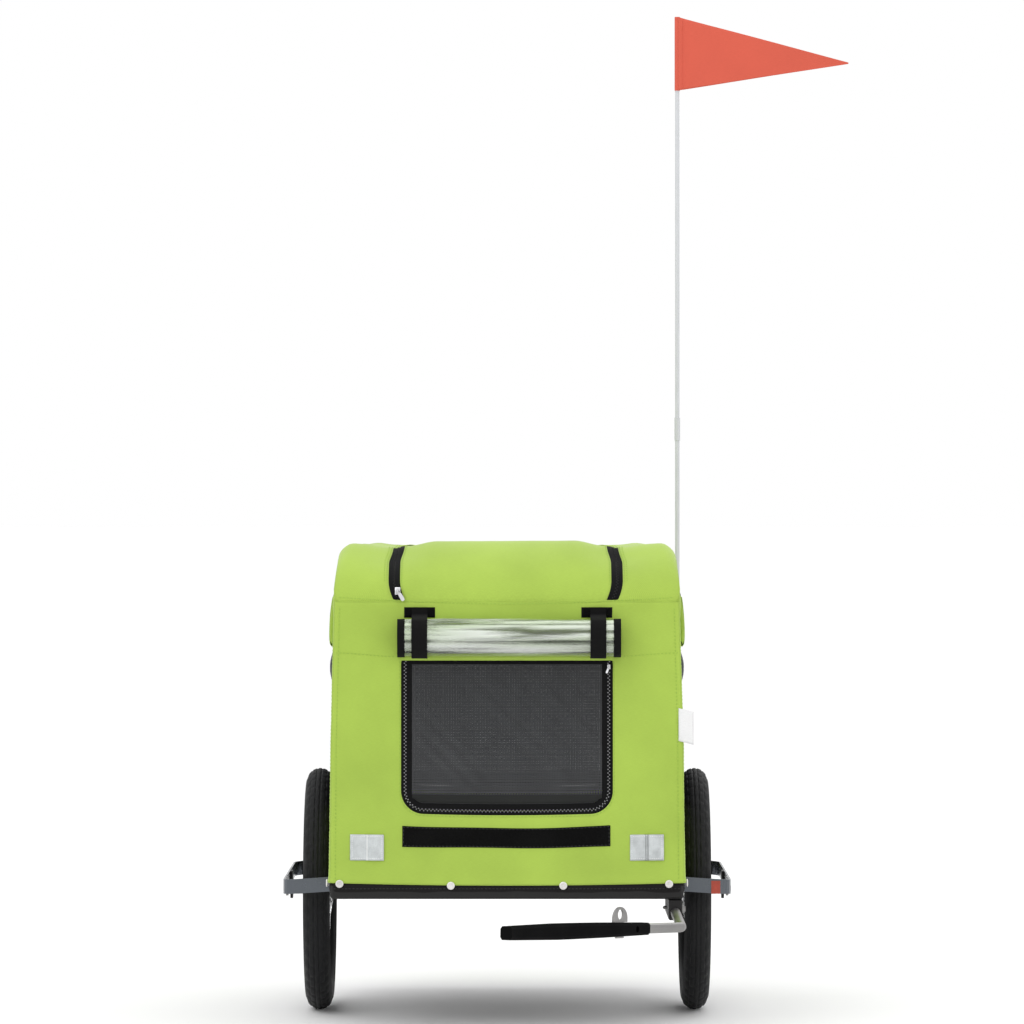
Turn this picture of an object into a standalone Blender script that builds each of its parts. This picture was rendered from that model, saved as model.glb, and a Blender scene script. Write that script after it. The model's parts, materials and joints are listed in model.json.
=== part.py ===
"""Enclosed two-wheel bicycle trailer with a side drawbar, as separate sub-parts.

Metres, +Z up, front towards -Y, the trailer's left side towards +X. Everything is drawn
with the ground at z = 0, and hangs from one empty that lowers it, so that the origin of
the finished part is the centre of the floor mat's top face, straight above the axle.
"""

import math

import bmesh
import bpy
from mathutils import Matrix, Vector

# ---- driving dimensions --------------------------------------------------------------

GAP = 0.0003
FLOOR_TOP = 0.250

# wheels
WHEEL_RADIUS = 0.200
HALF_TRACK = 0.311
TYRE_SECTION = 0.0225
RIM_OUTER = 0.1545
RIM_INNER = 0.1420
RIM_HALF_WIDTH = 0.012
HUB_INNER_END = -0.0320
HUB_OUTER_END = 0.0445
HUB_CONE = 0.0090
HUB_BARREL = 0.0130
HUB_FLANGE = 0.0240
HUB_FLANGE_OFFSET = 0.0175
HUB_BORE = 0.0065
RING_SEGMENTS = 48
SPOKE_COUNT = 20
SPOKE_RADIUS = 0.0011
AXLE_PIN_RADIUS = 0.0062
AXLE_PIN_DEPTH = 0.050
AXLE_CAP_RADIUS = 0.0120
BRACKET_HALF_WIDTH = 0.016
BRACKET_THICKNESS = 0.004
BUTTON_RADIUS = 0.0050
BUTTON_TRAVEL = 0.004

# base frame
BASE_LOW = 0.212
BASE_HIGH = 0.236
BASE_HALF_WIDTH = 0.280
BASE_HALF_LENGTH = 0.420
BAR_DEPTH = 0.020
RAIL_OUTER = 0.278
AXLE_BEAM_RADIUS = 0.0115
BOARD_THICKNESS = 0.004
MAT_THICKNESS = 0.0092
FLOOR_HALF_WIDTH = 0.249
FLOOR_HALF_LENGTH = 0.396

# hoops
HOOP_RADIUS = 0.008
HOOP_FOOT_X = 0.264
HOOP_FOOT_Y = 0.385
HOOP_TOP_X = 0.252
HOOP_TOP_Y = 0.315
HOOP_TOP_Z = 0.757
HOOP_FOOT_Z = 0.242
SOCKET_RADIUS = 0.0105
SOCKET_HEIGHT = 0.050
ROOF_BAR_X = 0.200
ROOF_BAR_RADIUS = 0.0065

# cover
CLOTH = 0.003
MESH_CLOTH = 0.002
COVER_LOW = 0.2365
SEAM_GAP = 0.0036
PANEL_LEVELS = (0.2365, 0.340, 0.460, 0.600, 0.640)
SEAM_Z = 0.684
ROOF_RISE = 0.094
ROOF_RUN = 0.120
ROOF_ROUNDNESS = 1.6
CORNER_DROP = 0.030
CORNER_RUN = 0.032
SIDE_WIDTHS = ((0.2365, 0.2820), (0.460, 0.2805), (0.686, 0.2745), (0.750, 0.2690), (0.790, 0.2650))

# doors, windows and hatch
DOOR_HALF_WIDTH = 0.168
DOOR_LOW = 0.3485
DOOR_HIGH = 0.5905
DOOR_CORNER = 0.035
ZIP_WIDTH = 0.0130
REAR_DOOR_HALF_WIDTH = 0.190
REAR_DOOR_LOW = 0.345
REAR_DOOR_HIGH = 0.620
WINDOW_HALF_LENGTH = 0.260
WINDOW_LOW = 0.360
WINDOW_HIGH = 0.602
WINDOW_CORNER = 0.040
HATCH_HALF_WIDTH = 0.185
HATCH_FRONT = -0.4185
HATCH_REAR = 0.300
HATCH_ZIP_WIDTH = 0.018
SLIDER_SIZE = (0.008, 0.0045, 0.014)

# trim on the front panel
ROLL_HALF_LENGTH = 0.177
ROLL_CENTRE_Z = 0.6275
ROLL_HALF_HEIGHT = 0.0305
ROLL_HALF_DEPTH = 0.019
STRAP_HALF_WIDTH = 0.0125
STRAP_THICKNESS = 0.0016
STRAP_X = (-0.1385, 0.1445)
STRAP_TOP = 0.675
PATCH_LOW = 0.6595
HOOK_STRIP = ((-0.166, 0.292), (0.164, 0.328))
REFLECTOR_HALF_WIDTH = 0.0270
REFLECTOR_X = 0.2215
REFLECTOR_Z = (0.2735, 0.3145)
TRIM_THICKNESS = 0.0015
FLAP_LOW = 0.606
FLAP_HIGH = 0.704
FLAP_PROUD = 0.011

# wheel guards
GUARD_X = 0.362
GUARD_Y = 0.235
GUARD_FOOT_X = 0.2798
GUARD_FOOT_Y = 0.275
GUARD_FOOT_Z = 0.2236
GUARD_RUN_Z = 0.2182
GUARD_HALF_HEIGHT = 0.0118
GUARD_THICKNESS = 0.003
GUARD_BEND = 0.025
GUARD_PATCH_START = 0.3308
GUARD_PATCH_POINTS = 3

# drawbar
RECEIVER_X = 0.2675
RECEIVER_HALF_WIDTH = 0.011
RECEIVER_LOW = 0.178
RECEIVER_FRONT = -0.415
RECEIVER_REAR = -0.215
DRAWBAR_Z = 0.190
DRAWBAR_RADIUS = 0.0078
DRAWBAR_TAIL_Y = -0.240
DRAWBAR_BEND = Vector((0.2675, -0.715, 0.190))
DRAWBAR_TIP = Vector((-0.0005, -1.1753, 0.2167))
DRAWBAR_BEND_RADIUS = 0.045
ARM_START = 0.2196
ARM_SPIGOT = 0.020
ARM_WIDTH = 0.0195
ARM_HEIGHTS = ((0.0, 0.0185), (0.35, 0.0225), (0.65, 0.0240), (1.0, 0.0200))
ARM_HOLE = 0.2940
ARM_HOLE_RADIUS = 0.00485
EYE_AT = 0.3663
EYE_HALF_LENGTH = 0.022
EYE_TONGUE = 0.0115
EYE_RISE = 0.0235
EYE_SHOULDER = 0.006
EYE_HOLE_RADIUS = 0.0080
EYE_HOLE_RISE = 0.0120
EYE_THICKNESS = 0.0025
PIN_RADIUS = 0.003
PIN_Y = -0.300

# flag
POLE_X = 0.2955
POLE_Y = 0.412
POLE_RADIUS = 0.004
POLE_LOW = 0.216
POLE_HIGH = 1.684
FLAG_TOP = 1.687
FLAG_LOW = 1.559
FLAG_TIP = (0.5935, 1.607)
FLAG_SLEEVE = 0.0055
FLAG_THICKNESS = 0.0012
FLAG_SOCKET_RADIUS = 0.0085
FLAG_SOCKET_HIGH = 0.275

COLOURS = {
    "black_steel": ((0.020, 0.019, 0.019), 0.42, 0.0),
    "black_plastic": ((0.015, 0.015, 0.016), 0.50, 0.0),
    "zinc": ((0.42, 0.41, 0.40), 0.38, 1.0),
    "guard_metal": ((0.16, 0.17, 0.18), 0.28, 1.0),
    "green_fabric": ((0.40, 0.58, 0.098), 0.90, 0.0),
    "mesh_fabric": ((0.055, 0.056, 0.058), 0.85, 0.0),
    "black_webbing": ((0.010, 0.010, 0.010), 0.85, 0.0),
    "clear_sheet": ((0.62, 0.66, 0.66), 0.12, 0.0),
    "reflective": ((0.62, 0.66, 0.66), 0.25, 0.0),
    "red_reflective": ((0.34, 0.06, 0.04), 0.30, 0.0),
    "tyre_rubber": ((0.018, 0.019, 0.020), 0.75, 0.0),
    "rim_steel": ((0.60, 0.60, 0.60), 0.25, 1.0),
    "floor_grey": ((0.05, 0.05, 0.05), 0.80, 0.0),
    "white_glassfibre": ((0.80, 0.80, 0.78), 0.40, 0.0),
    "flag_fabric": ((0.72, 0.12, 0.07), 0.80, 0.0),
}


# ---- helpers -------------------------------------------------------------------------


def clear_scene():
    for ob in list(bpy.data.objects):
        bpy.data.objects.remove(ob, do_unlink=True)


def make_material(name):
    """One Principled material for one sub-part."""
    rgb, rough, metal = COLOURS[name]
    mat = bpy.data.materials.new(name)
    mat.use_nodes = True
    shader = mat.node_tree.nodes["Principled BSDF"]
    shader.inputs["Base Color"].default_value = (*rgb, 1.0)
    shader.inputs["Roughness"].default_value = rough
    shader.inputs["Metallic"].default_value = metal
    mat.diffuse_color = (*rgb, 1.0)
    return mat


def add_root():
    root = bpy.data.objects.new("trailer", None)
    root.location = (0.0, 0.0, -FLOOR_TOP)
    bpy.context.scene.collection.objects.link(root)
    return root


def add(name, bm, colour, origin=(0, 0, 0), smooth=None):
    """A new object made of bm, which is drawn in trailer coordinates, with its origin at a point."""
    bmesh.ops.recalc_face_normals(bm, faces=bm.faces)
    if bm.calc_volume(signed=True) < 0:
        bmesh.ops.reverse_faces(bm, faces=bm.faces)
    bmesh.ops.translate(bm, verts=bm.verts, vec=-Vector(origin))
    mesh = bpy.data.meshes.new(name)
    bm.to_mesh(mesh)
    bm.free()
    ob = bpy.data.objects.new(name, mesh)
    bpy.context.scene.collection.objects.link(ob)
    ob.parent = bpy.data.objects["trailer"]
    ob.location = origin
    mesh.materials.append(make_material(colour))
    if smooth is not None:
        mesh.shade_smooth()
        mesh.set_sharp_from_angle(angle=math.radians(smooth))
    return ob


def boolean(ob, other, operation="DIFFERENCE"):
    """Cuts other out of ob, or joins it on; other itself isn't part of the model."""
    other.hide_render = True
    other.display_type = "WIRE"
    mod = ob.modifiers.new(operation.title(), "BOOLEAN")
    mod.operation = operation
    mod.object = other


def box_mesh(low, high):
    bm = bmesh.new()
    bmesh.ops.create_cube(bm, size=1.0)
    low, high = Vector(low), Vector(high)
    size = high - low
    bmesh.ops.scale(bm, vec=size, verts=bm.verts)
    bmesh.ops.translate(bm, vec=(low + high) / 2, verts=bm.verts)
    return bm


def soften(bm, width):
    """Small bevel on every sharp edge of a plain solid."""
    edges = [e for e in bm.edges if e.calc_face_angle(0.0) > 0.5]
    bmesh.ops.bevel(bm, geom=edges, offset=width, segments=1, affect="EDGES")
    return bm


def prism_mesh(outline, place):
    """A solid from a flat outline; place turns (u, v, end) into a point, with end 0 or 1."""
    bm = bmesh.new()
    rings = [[bm.verts.new(place(u, v, end)) for u, v in outline] for end in (0, 1)]
    count = len(outline)
    for i in range(count):
        j = (i + 1) % count
        bm.faces.new((rings[0][i], rings[0][j], rings[1][j], rings[1][i]))
    bm.faces.new(rings[0])
    bm.faces.new(rings[1])
    return bm


def circle(radius, sides):
    turn = 2 * math.pi / sides
    return [(radius * math.cos(i * turn), radius * math.sin(i * turn)) for i in range(sides)]


def rounded_outline(low, high, radius, steps=6, top_radius=None):
    """Rectangle in (u, v) with round lower corners and, if given, other upper corners."""
    top = radius if top_radius is None else top_radius
    corners = (
        (low[0] + radius, low[1] + radius, radius, 180),
        (high[0] - radius, low[1] + radius, radius, 270),
        (high[0] - top, high[1] - top, top, 0),
        (low[0] + top, high[1] - top, top, 90),
    )
    points = []
    for u, v, r, start in corners:
        count = steps if r > GAP else 0
        for i in range(count + 1):
            angle = math.radians(start + 90 * i / max(count, 1))
            points.append((u + r * math.cos(angle), v + r * math.sin(angle)))
    return points


def rounded_path(corners, radii, steps=6):
    """Points along a polyline whose inner corners are turned into smooth bends."""
    corners = [Vector(c) for c in corners]
    points = [corners[0]]
    for before, corner, after, radius in zip(corners, corners[1:], corners[2:], radii):
        back = (before - corner).normalized()
        on = (after - corner).normalized()
        reach = radius / math.tan(back.angle(on) / 2)
        start, end = corner + back * reach, corner + on * reach
        for i in range(steps + 1):
            t = i / steps
            points.append(start * (1 - t) ** 2 + corner * 2 * t * (1 - t) + end * t ** 2)
    points.append(corners[-1])
    return points


def sweep_mesh(path, profile, up=(0, 0, 1), heights=None):
    """A solid swept along path; profile's v axis stays as near to up as it can."""
    bm = bmesh.new()
    up = Vector(up)
    rings = []
    last = len(path) - 1
    for i, point in enumerate(path):
        ahead = (path[min(i + 1, last)] - path[max(i - 1, 0)]).normalized()
        side = ahead.cross(up).normalized()
        rise = side.cross(ahead)
        scale = heights[i] if heights else 1.0
        rings.append([bm.verts.new(point + side * u + rise * v * scale) for u, v in profile])
    count = len(profile)
    for one, two in zip(rings, rings[1:]):
        for i in range(count):
            j = (i + 1) % count
            bm.faces.new((one[i], one[j], two[j], two[i]))
    bm.faces.new(rings[0])
    bm.faces.new(rings[-1])
    return bm


def turned_mesh(profile, segments, closed):
    """A solid turned about the X axis from (x, radius) points; closed joins last to first."""
    bm = bmesh.new()
    turn = 2 * math.pi / segments
    rings = []
    for x, radius in profile:
        rings.append(
            [
                bm.verts.new((x, radius * math.cos(i * turn), radius * math.sin(i * turn)))
                for i in range(segments)
            ]
        )
    pairs = list(zip(rings, rings[1:]))
    if closed:
        pairs.append((rings[-1], rings[0]))
    for one, two in pairs:
        for i in range(segments):
            j = (i + 1) % segments
            bm.faces.new((one[i], one[j], two[j], two[i]))
    if not closed:
        bm.faces.new(rings[0])
        bm.faces.new(rings[-1])
    return bm


def rod_mesh(start, end, radius, sides=16):
    start, end = Vector(start), Vector(end)
    along = (end - start).normalized()
    up = (0, 0, 1) if abs(along.z) < 0.9 else (0, 1, 0)
    return sweep_mesh([start, end], circle(radius, sides), up)


def mix(table, value):
    """Straight-line reading of a table of (key, result) pairs."""
    for (k0, v0), (k1, v1) in zip(table, table[1:]):
        if value <= k1:
            return v0 + (v1 - v0) * max(0.0, (value - k0) / (k1 - k0))
    return table[-1][1]


# ---- the shape of the cover ----------------------------------------------------------


def side_x(z):
    """Outer half width of the cabin at a height."""
    return mix(SIDE_WIDTHS, z)


def roof_z(y):
    """Outer height of the roof along its middle; the same towards the rear."""
    t = min(1.0, max(0.0, (BASE_HALF_LENGTH - abs(y)) / ROOF_RUN))
    return SEAM_Z + ROOF_RISE * (1 - (1 - t) ** ROOF_ROUNDNESS) ** (1 / ROOF_ROUNDNESS)


def corner_drop(y):
    """How far the roof's side edge lies below its middle."""
    t = min(1.0, (BASE_HALF_LENGTH - abs(y)) / ROOF_RUN)
    return CORNER_DROP * t


def edge_z(y):
    return roof_z(y) - corner_drop(y)


def roof_point(across, y):
    """Point on the roof; across runs from -1 to 1 over the full width."""
    edge = side_x(edge_z(y))
    x = across * edge
    over = max(0.0, (abs(x) - (edge - CORNER_RUN)) / CORNER_RUN)
    return Vector((x, y, roof_z(y) - corner_drop(y) * (1 - math.sqrt(max(0.0, 1 - over ** 2)))))


ROOF_LINES_Y = (0.0, 0.002, 0.008, 0.020, 0.040, 0.070, 0.120)


def roof_lines(front, rear):
    """Grid lines across the roof between two places, close together where it curves."""
    lines = {front, rear}
    for step in ROOF_LINES_Y:
        lines.update((step - BASE_HALF_LENGTH, BASE_HALF_LENGTH - step))
    return sorted(y for y in lines if front <= y <= rear)


def sheet_mesh(columns, rows, point, keep, thickness, inward):
    """A cloth panel: a grid of cells, given thickness towards its inside."""
    bm = bmesh.new()
    grid = {}

    def vert(i, j):
        if (i, j) not in grid:
            grid[i, j] = bm.verts.new(point(columns[i], rows[j]))
        return grid[i, j]

    for i in range(len(columns) - 1):
        for j in range(len(rows) - 1):
            middle = ((columns[i] + columns[i + 1]) / 2, (rows[j] + rows[j + 1]) / 2)
            if keep(*middle):
                bm.faces.new((vert(i, j), vert(i + 1, j), vert(i + 1, j + 1), vert(i, j + 1)))
    outer = list(bm.verts)
    edges = [e for e in bm.edges if e.is_boundary]
    bm.verts.index_update()
    inner = {v: bm.verts.new(v.co + inward(v.co) * thickness) for v in outer}
    for face in list(bm.faces):
        bm.faces.new([inner[v] for v in reversed(face.verts)])
    for edge in edges:
        a, b = edge.verts
        bm.faces.new((a, b, inner[b], inner[a]))
    return bm


def always(u, v):
    return True


def roof_inward(point):
    """Towards the inside of the roof: square to it in the middle, and mostly sideways at its rim."""
    step = 0.0005
    low = max(-BASE_HALF_LENGTH, point.y - step)
    high = min(BASE_HALF_LENGTH, point.y + step)
    slope = (roof_z(high) - roof_z(low)) / (high - low)
    lean = max(-4.0, min(4.0, slope))
    over = max(0.0, abs(point.x) - (side_x(edge_z(point.y)) - CORNER_RUN)) / CORNER_RUN
    over = min(1.0, over)
    at_seam = max(0.0, 1.0 - (BASE_HALF_LENGTH - abs(point.y)) / 0.002)
    sideways = Vector((-math.copysign(1.0, point.x), -math.copysign(0.25 * at_seam, point.y), 0.0))
    square = Vector((0.0, lean, -1.0)).normalized()
    return square.lerp(sideways, over ** 2).normalized()


# ---- wheels --------------------------------------------------------------------------


def wheel(side, name):
    centre = Vector((side * HALF_TRACK, 0.0, WHEEL_RADIUS))
    ring = WHEEL_RADIUS - TYRE_SECTION
    section = [(u, ring + v) for u, v in circle(TYRE_SECTION, 12)]
    tyre = turned_mesh([(u, max(v, RIM_OUTER + GAP)) for u, v in section], RING_SEGMENTS, True)
    rim = turned_mesh(
        (
            (-RIM_HALF_WIDTH, RIM_OUTER),
            (-RIM_HALF_WIDTH, RIM_OUTER - 0.006),
            (-RIM_HALF_WIDTH * 0.5, RIM_INNER),
            (RIM_HALF_WIDTH * 0.5, RIM_INNER),
            (RIM_HALF_WIDTH, RIM_OUTER - 0.006),
            (RIM_HALF_WIDTH, RIM_OUTER),
        ),
        RING_SEGMENTS,
        True,
    )
    flange_in = HUB_FLANGE_OFFSET - 0.0015
    flange_out = HUB_FLANGE_OFFSET + 0.0015
    half = (
        (flange_out + 0.006, HUB_CONE),
        (flange_out, HUB_BARREL),
        (flange_out, HUB_FLANGE),
        (flange_in, HUB_FLANGE),
        (flange_in, HUB_BARREL),
    )
    ends = [(HUB_OUTER_END, HUB_BORE), (HUB_OUTER_END, HUB_CONE)]
    tail = [(HUB_INNER_END, HUB_CONE), (HUB_INNER_END, HUB_BORE)]
    profile = [*ends, *half, *((-x, r) for x, r in reversed(half)), *tail]
    hub = turned_mesh([(x * side, r) for x, r in profile], 24, True)
    spokes = bmesh.new()
    for i in range(SPOKE_COUNT):
        flange = HUB_FLANGE_OFFSET * (1 if i % 2 else -1)
        angle = 2 * math.pi * (i + 0.25) / SPOKE_COUNT
        out = Vector((0.0, math.cos(angle), math.sin(angle)))
        start = Vector((flange, 0.0, 0.0)) + out * (HUB_FLANGE - 0.003)
        end = out * (RIM_INNER * math.cos(math.pi / RING_SEGMENTS) - GAP)
        piece = sweep_mesh([start, end], circle(SPOKE_RADIUS, 6), (1, 0, 0))
        bmesh.ops.recalc_face_normals(piece, faces=piece.faces)
        mesh = bpy.data.meshes.new("spoke")
        piece.to_mesh(mesh)
        piece.free()
        spokes.from_mesh(mesh)
        bpy.data.meshes.remove(mesh)
    for bm in (tyre, rim, hub, spokes):
        bmesh.ops.translate(bm, vec=centre, verts=bm.verts)
    add(f"tyre_{name}", tyre, "tyre_rubber", centre, 40)
    add(f"rim_{name}", rim, "rim_steel", centre, 30)
    hub_ob = add(f"hub_{name}", hub, "rim_steel", centre, 30)
    boolean(hub_ob, add(f"spokes_{name}", spokes, "rim_steel", centre), "UNION")
    axle_bracket(side, name)
    axle_pin(side, name, centre)


def axle_pin(side, name, centre):
    """Pull-out axle: a pin through bracket and hub, with a release button in its cap."""
    cap_start = GUARD_X + GUARD_THICKNESS / 2 + GAP
    cap_end = cap_start + 0.004
    root = RAIL_OUTER - AXLE_PIN_DEPTH
    well = 0.006
    rim = BUTTON_RADIUS + GAP
    profile = (
        (root, AXLE_PIN_RADIUS),
        (cap_start, AXLE_PIN_RADIUS),
        (cap_start, AXLE_CAP_RADIUS),
        (cap_end, AXLE_CAP_RADIUS),
        (cap_end, rim),
        (cap_end - well, rim),
    )
    pin = turned_mesh([(x * side, r) for x, r in profile], 20, False)
    button = turned_mesh(
        [
            (side * (cap_end - well + BUTTON_TRAVEL + GAP), BUTTON_RADIUS),
            (side * (cap_end + BUTTON_TRAVEL + 0.0005), BUTTON_RADIUS),
        ],
        16,
        False,
    )
    for bm in (pin, button):
        bmesh.ops.translate(bm, vec=(0, 0, WHEEL_RADIUS), verts=bm.verts)
    add(f"axle_pin_{name}", pin, "zinc", centre, 30)
    face = (side * cap_end, 0, WHEEL_RADIUS)
    add(f"axle_button_{name}", button, "black_plastic", face, 30)


def axle_bracket(side, name):
    """Plate behind the wheel guard that holds the outer end of the axle."""
    outer = GUARD_X - GUARD_THICKNESS / 2 - GAP
    low, high = WHEEL_RADIUS - 0.016, GUARD_RUN_Z + GUARD_HALF_HEIGHT
    outline = rounded_outline((-BRACKET_HALF_WIDTH, low), (BRACKET_HALF_WIDTH, high), 0.010, 5, 0.002)

    def place(y, z, end):
        return (side * (outer - (BRACKET_THICKNESS if end else 0.0)), y, z)

    plate = add(f"axle_bracket_{name}", prism_mesh(outline, place), "black_steel", smooth=30)
    start = (side * (outer - 0.01), 0, WHEEL_RADIUS)
    bore = rod_mesh(start, (side * (outer + 0.01), 0, WHEEL_RADIUS), HUB_BORE, 20)
    boolean(plate, add(f"axle_bracket_{name}_bore", bore, "black_steel"))


# ---- base frame ----------------------------------------------------------------------


def base_frame():
    inner = BASE_HALF_LENGTH - BAR_DEPTH
    for side, name in ((-1, "front"), (1, "rear")):
        near, far = sorted((side * inner, side * BASE_HALF_LENGTH))
        bar = box_mesh((-BASE_HALF_WIDTH, near, BASE_LOW), (BASE_HALF_WIDTH, far, BASE_HIGH))
        add(f"base_crossbar_{name}", soften(bar, 0.003), "black_steel")
    for side, name in ((1, "left"), (-1, "right")):
        low, high = sorted((side * (RAIL_OUTER - BAR_DEPTH), side * RAIL_OUTER))
        rail = box_mesh((low, -inner + GAP, BASE_LOW), (high, inner - GAP, BASE_HIGH))
        add(f"base_rail_{name}", soften(rail, 0.002), "black_steel")
    bore = AXLE_PIN_RADIUS + GAP
    deep = RAIL_OUTER - AXLE_PIN_DEPTH - 0.002
    half = ((deep, bore), (RAIL_OUTER, bore), (RAIL_OUTER, AXLE_BEAM_RADIUS))
    profile = [(-x, r) for x, r in half] + list(reversed(half))
    beam = turned_mesh(profile, 20, False)
    bmesh.ops.translate(beam, vec=(0, 0, WHEEL_RADIUS), verts=beam.verts)
    add("axle_beam", beam, "black_steel", (0, 0, WHEEL_RADIUS), 30)


def floor():
    board_low = BASE_HIGH + GAP
    board_high = board_low + BOARD_THICKNESS
    x, y = FLOOR_HALF_WIDTH, FLOOR_HALF_LENGTH
    add("floor_board", box_mesh((-x, -y, board_low), (x, y, board_high)), "floor_grey")
    mat_low = FLOOR_TOP - MAT_THICKNESS
    mat = box_mesh((-x + 0.004, -y + 0.004, mat_low), (x - 0.004, y - 0.004, FLOOR_TOP))
    add("floor_mat", soften(mat, 0.003), "floor_grey")


def wheel_guard(side, name):
    corners = (
        (GUARD_FOOT_X, -GUARD_FOOT_Y, GUARD_FOOT_Z),
        (GUARD_FOOT_X, -GUARD_Y, GUARD_FOOT_Z),
        (GUARD_X, -GUARD_Y, GUARD_RUN_Z),
        (GUARD_X, GUARD_Y, GUARD_RUN_Z),
        (GUARD_FOOT_X, GUARD_Y, GUARD_FOOT_Z),
        (GUARD_FOOT_X, GUARD_FOOT_Y, GUARD_FOOT_Z),
    )
    path = rounded_path([(side * x, y, z) for x, y, z in corners], (0.006, GUARD_BEND, GUARD_BEND, 0.006))
    half = GUARD_THICKNESS / 2
    profile = (
        (-half, -GUARD_HALF_HEIGHT),
        (half, -GUARD_HALF_HEIGHT),
        (half, GUARD_HALF_HEIGHT),
        (-half, GUARD_HALF_HEIGHT),
    )
    add(f"wheel_guard_{name}", sweep_mesh(path, profile), "guard_metal", smooth=30)


def guard_reflector():
    """Red reflective patch on the left wheel guard, where its front bend starts."""
    out = GUARD_THICKNESS / 2 + GAP + 0.0006
    x, y = GUARD_X + out, GUARD_Y + out
    corners = ((GUARD_PATCH_START, -y, GUARD_RUN_Z), (x, -y, GUARD_RUN_Z), (x, -y + 0.034, GUARD_RUN_Z))
    path = rounded_path(corners, (GUARD_BEND + out,))[:GUARD_PATCH_POINTS]
    profile = ((-0.0006, -0.0105), (0.0006, -0.0105), (0.0006, 0.0105), (-0.0006, 0.0105))
    add("guard_reflector", sweep_mesh(path, profile), "red_reflective", smooth=30)


def hoops():
    for side, name in ((-1, "front"), (1, "rear")):
        foot_y, top_y = side * HOOP_FOOT_Y, side * HOOP_TOP_Y
        corners = (
            (-HOOP_FOOT_X, foot_y, HOOP_FOOT_Z),
            (-HOOP_FOOT_X, foot_y, BASE_HIGH + SOCKET_HEIGHT + 0.010),
            (-HOOP_TOP_X, top_y, HOOP_TOP_Z),
            (HOOP_TOP_X, top_y, HOOP_TOP_Z),
            (HOOP_FOOT_X, foot_y, BASE_HIGH + SOCKET_HEIGHT + 0.010),
            (HOOP_FOOT_X, foot_y, HOOP_FOOT_Z),
        )
        path = rounded_path(corners, (0.10, 0.045, 0.045, 0.10))
        hoop = sweep_mesh(path, circle(HOOP_RADIUS, 12), (0, 1, 0))
        add(f"{name}_hoop", hoop, "black_steel", smooth=40)
        for across, hand in ((1, "left"), (-1, "right")):
            hoop_socket(across * HOOP_FOOT_X, foot_y, f"hoop_socket_{name}_{hand}")


def hoop_socket(x, y, name):
    low = BASE_HIGH + GAP
    body = rod_mesh((x, y, low), (x, y, low + SOCKET_HEIGHT), SOCKET_RADIUS)
    socket = add(name, body, "black_plastic", smooth=30)
    start = HOOP_FOOT_Z - GAP
    bore = rod_mesh((x, y, start), (x, y, low + SOCKET_HEIGHT + 0.01), HOOP_RADIUS + GAP)
    boolean(socket, add(f"{name}_bore", bore, "black_plastic"))


def roof_bars():
    reach = HOOP_TOP_Y - HOOP_RADIUS - GAP
    for side, name in ((1, "left"), (-1, "right")):
        x = side * ROOF_BAR_X
        bar = rod_mesh((x, -reach, HOOP_TOP_Z), (x, reach, HOOP_TOP_Z), ROOF_BAR_RADIUS, 12)
        add(f"roof_bar_{name}", bar, "black_steel", smooth=30)


# ---- cover ---------------------------------------------------------------------------


def end_panel(side, name, opening):
    """Front or rear panel with a hole for its door."""
    inset = CLOTH + GAP
    top = SEAM_Z - SEAM_GAP
    outline = [(side_x(z) - inset, z) for z in (*PANEL_LEVELS, top)]
    outline += [(-x, z) for x, z in reversed(outline)]
    outer = side * BASE_HALF_LENGTH
    inner = side * (BASE_HALF_LENGTH - CLOTH)
    panel = prism_mesh(outline, lambda u, v, end: (u, inner if end else outer, v))
    ob = add(f"cover_{name}", panel, "green_fabric")
    cutter = prism_mesh(
        opening, lambda u, v, end: (u, side * (BASE_HALF_LENGTH + (0.01 if end else -0.02)), v)
    )
    boolean(ob, add(f"cover_{name}_opening", cutter, "green_fabric"))


def door_outline(half_width, low, high, shrink, corner=DOOR_CORNER):
    return rounded_outline(
        (-half_width + shrink, low + shrink), (half_width - shrink, high - GAP), corner - shrink, 6, 0.0
    )


def front_end():
    end_panel(-1, "front", door_outline(DOOR_HALF_WIDTH, DOOR_LOW, DOOR_HIGH, -GAP))
    y_out = -BASE_HALF_LENGTH
    y_in = y_out + MESH_CLOTH
    outer = door_outline(DOOR_HALF_WIDTH, DOOR_LOW, DOOR_HIGH, 0.0)
    zip_ob = add(
        "front_zip",
        prism_mesh(outer, lambda u, v, end: (u, y_in if end else y_out, v)),
        "black_webbing",
    )
    hole = door_outline(DOOR_HALF_WIDTH, DOOR_LOW, DOOR_HIGH + 0.02, ZIP_WIDTH)
    cutter = prism_mesh(hole, lambda u, v, end: (u, y_out + (0.01 if end else -0.01), v))
    boolean(zip_ob, add("front_zip_opening", cutter, "black_webbing"))
    leaf = door_outline(DOOR_HALF_WIDTH, DOOR_LOW, DOOR_HIGH, ZIP_WIDTH + GAP)
    door = prism_mesh(leaf, lambda u, v, end: (u, y_in if end else y_out, v))
    add("front_door", door, "mesh_fabric", (0, y_out, DOOR_HIGH))
    slider("front_zip_slider", (DOOR_HALF_WIDTH - ZIP_WIDTH / 2, y_out, DOOR_HIGH - 0.010), 0.0)


def slider(name, point, lean):
    """Zip slider that stands on the cloth at a point; lean tips it back, in radians."""
    wide, deep, tall = SLIDER_SIZE
    body = soften(box_mesh((-wide / 2, -deep - GAP, -tall / 2), (wide / 2, -GAP, tall / 2)), 0.001)
    bmesh.ops.rotate(body, cent=(0, 0, 0), matrix=Matrix.Rotation(-lean, 3, "X"), verts=body.verts)
    bmesh.ops.translate(body, vec=point, verts=body.verts)
    add(name, body, "zinc", point)


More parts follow.
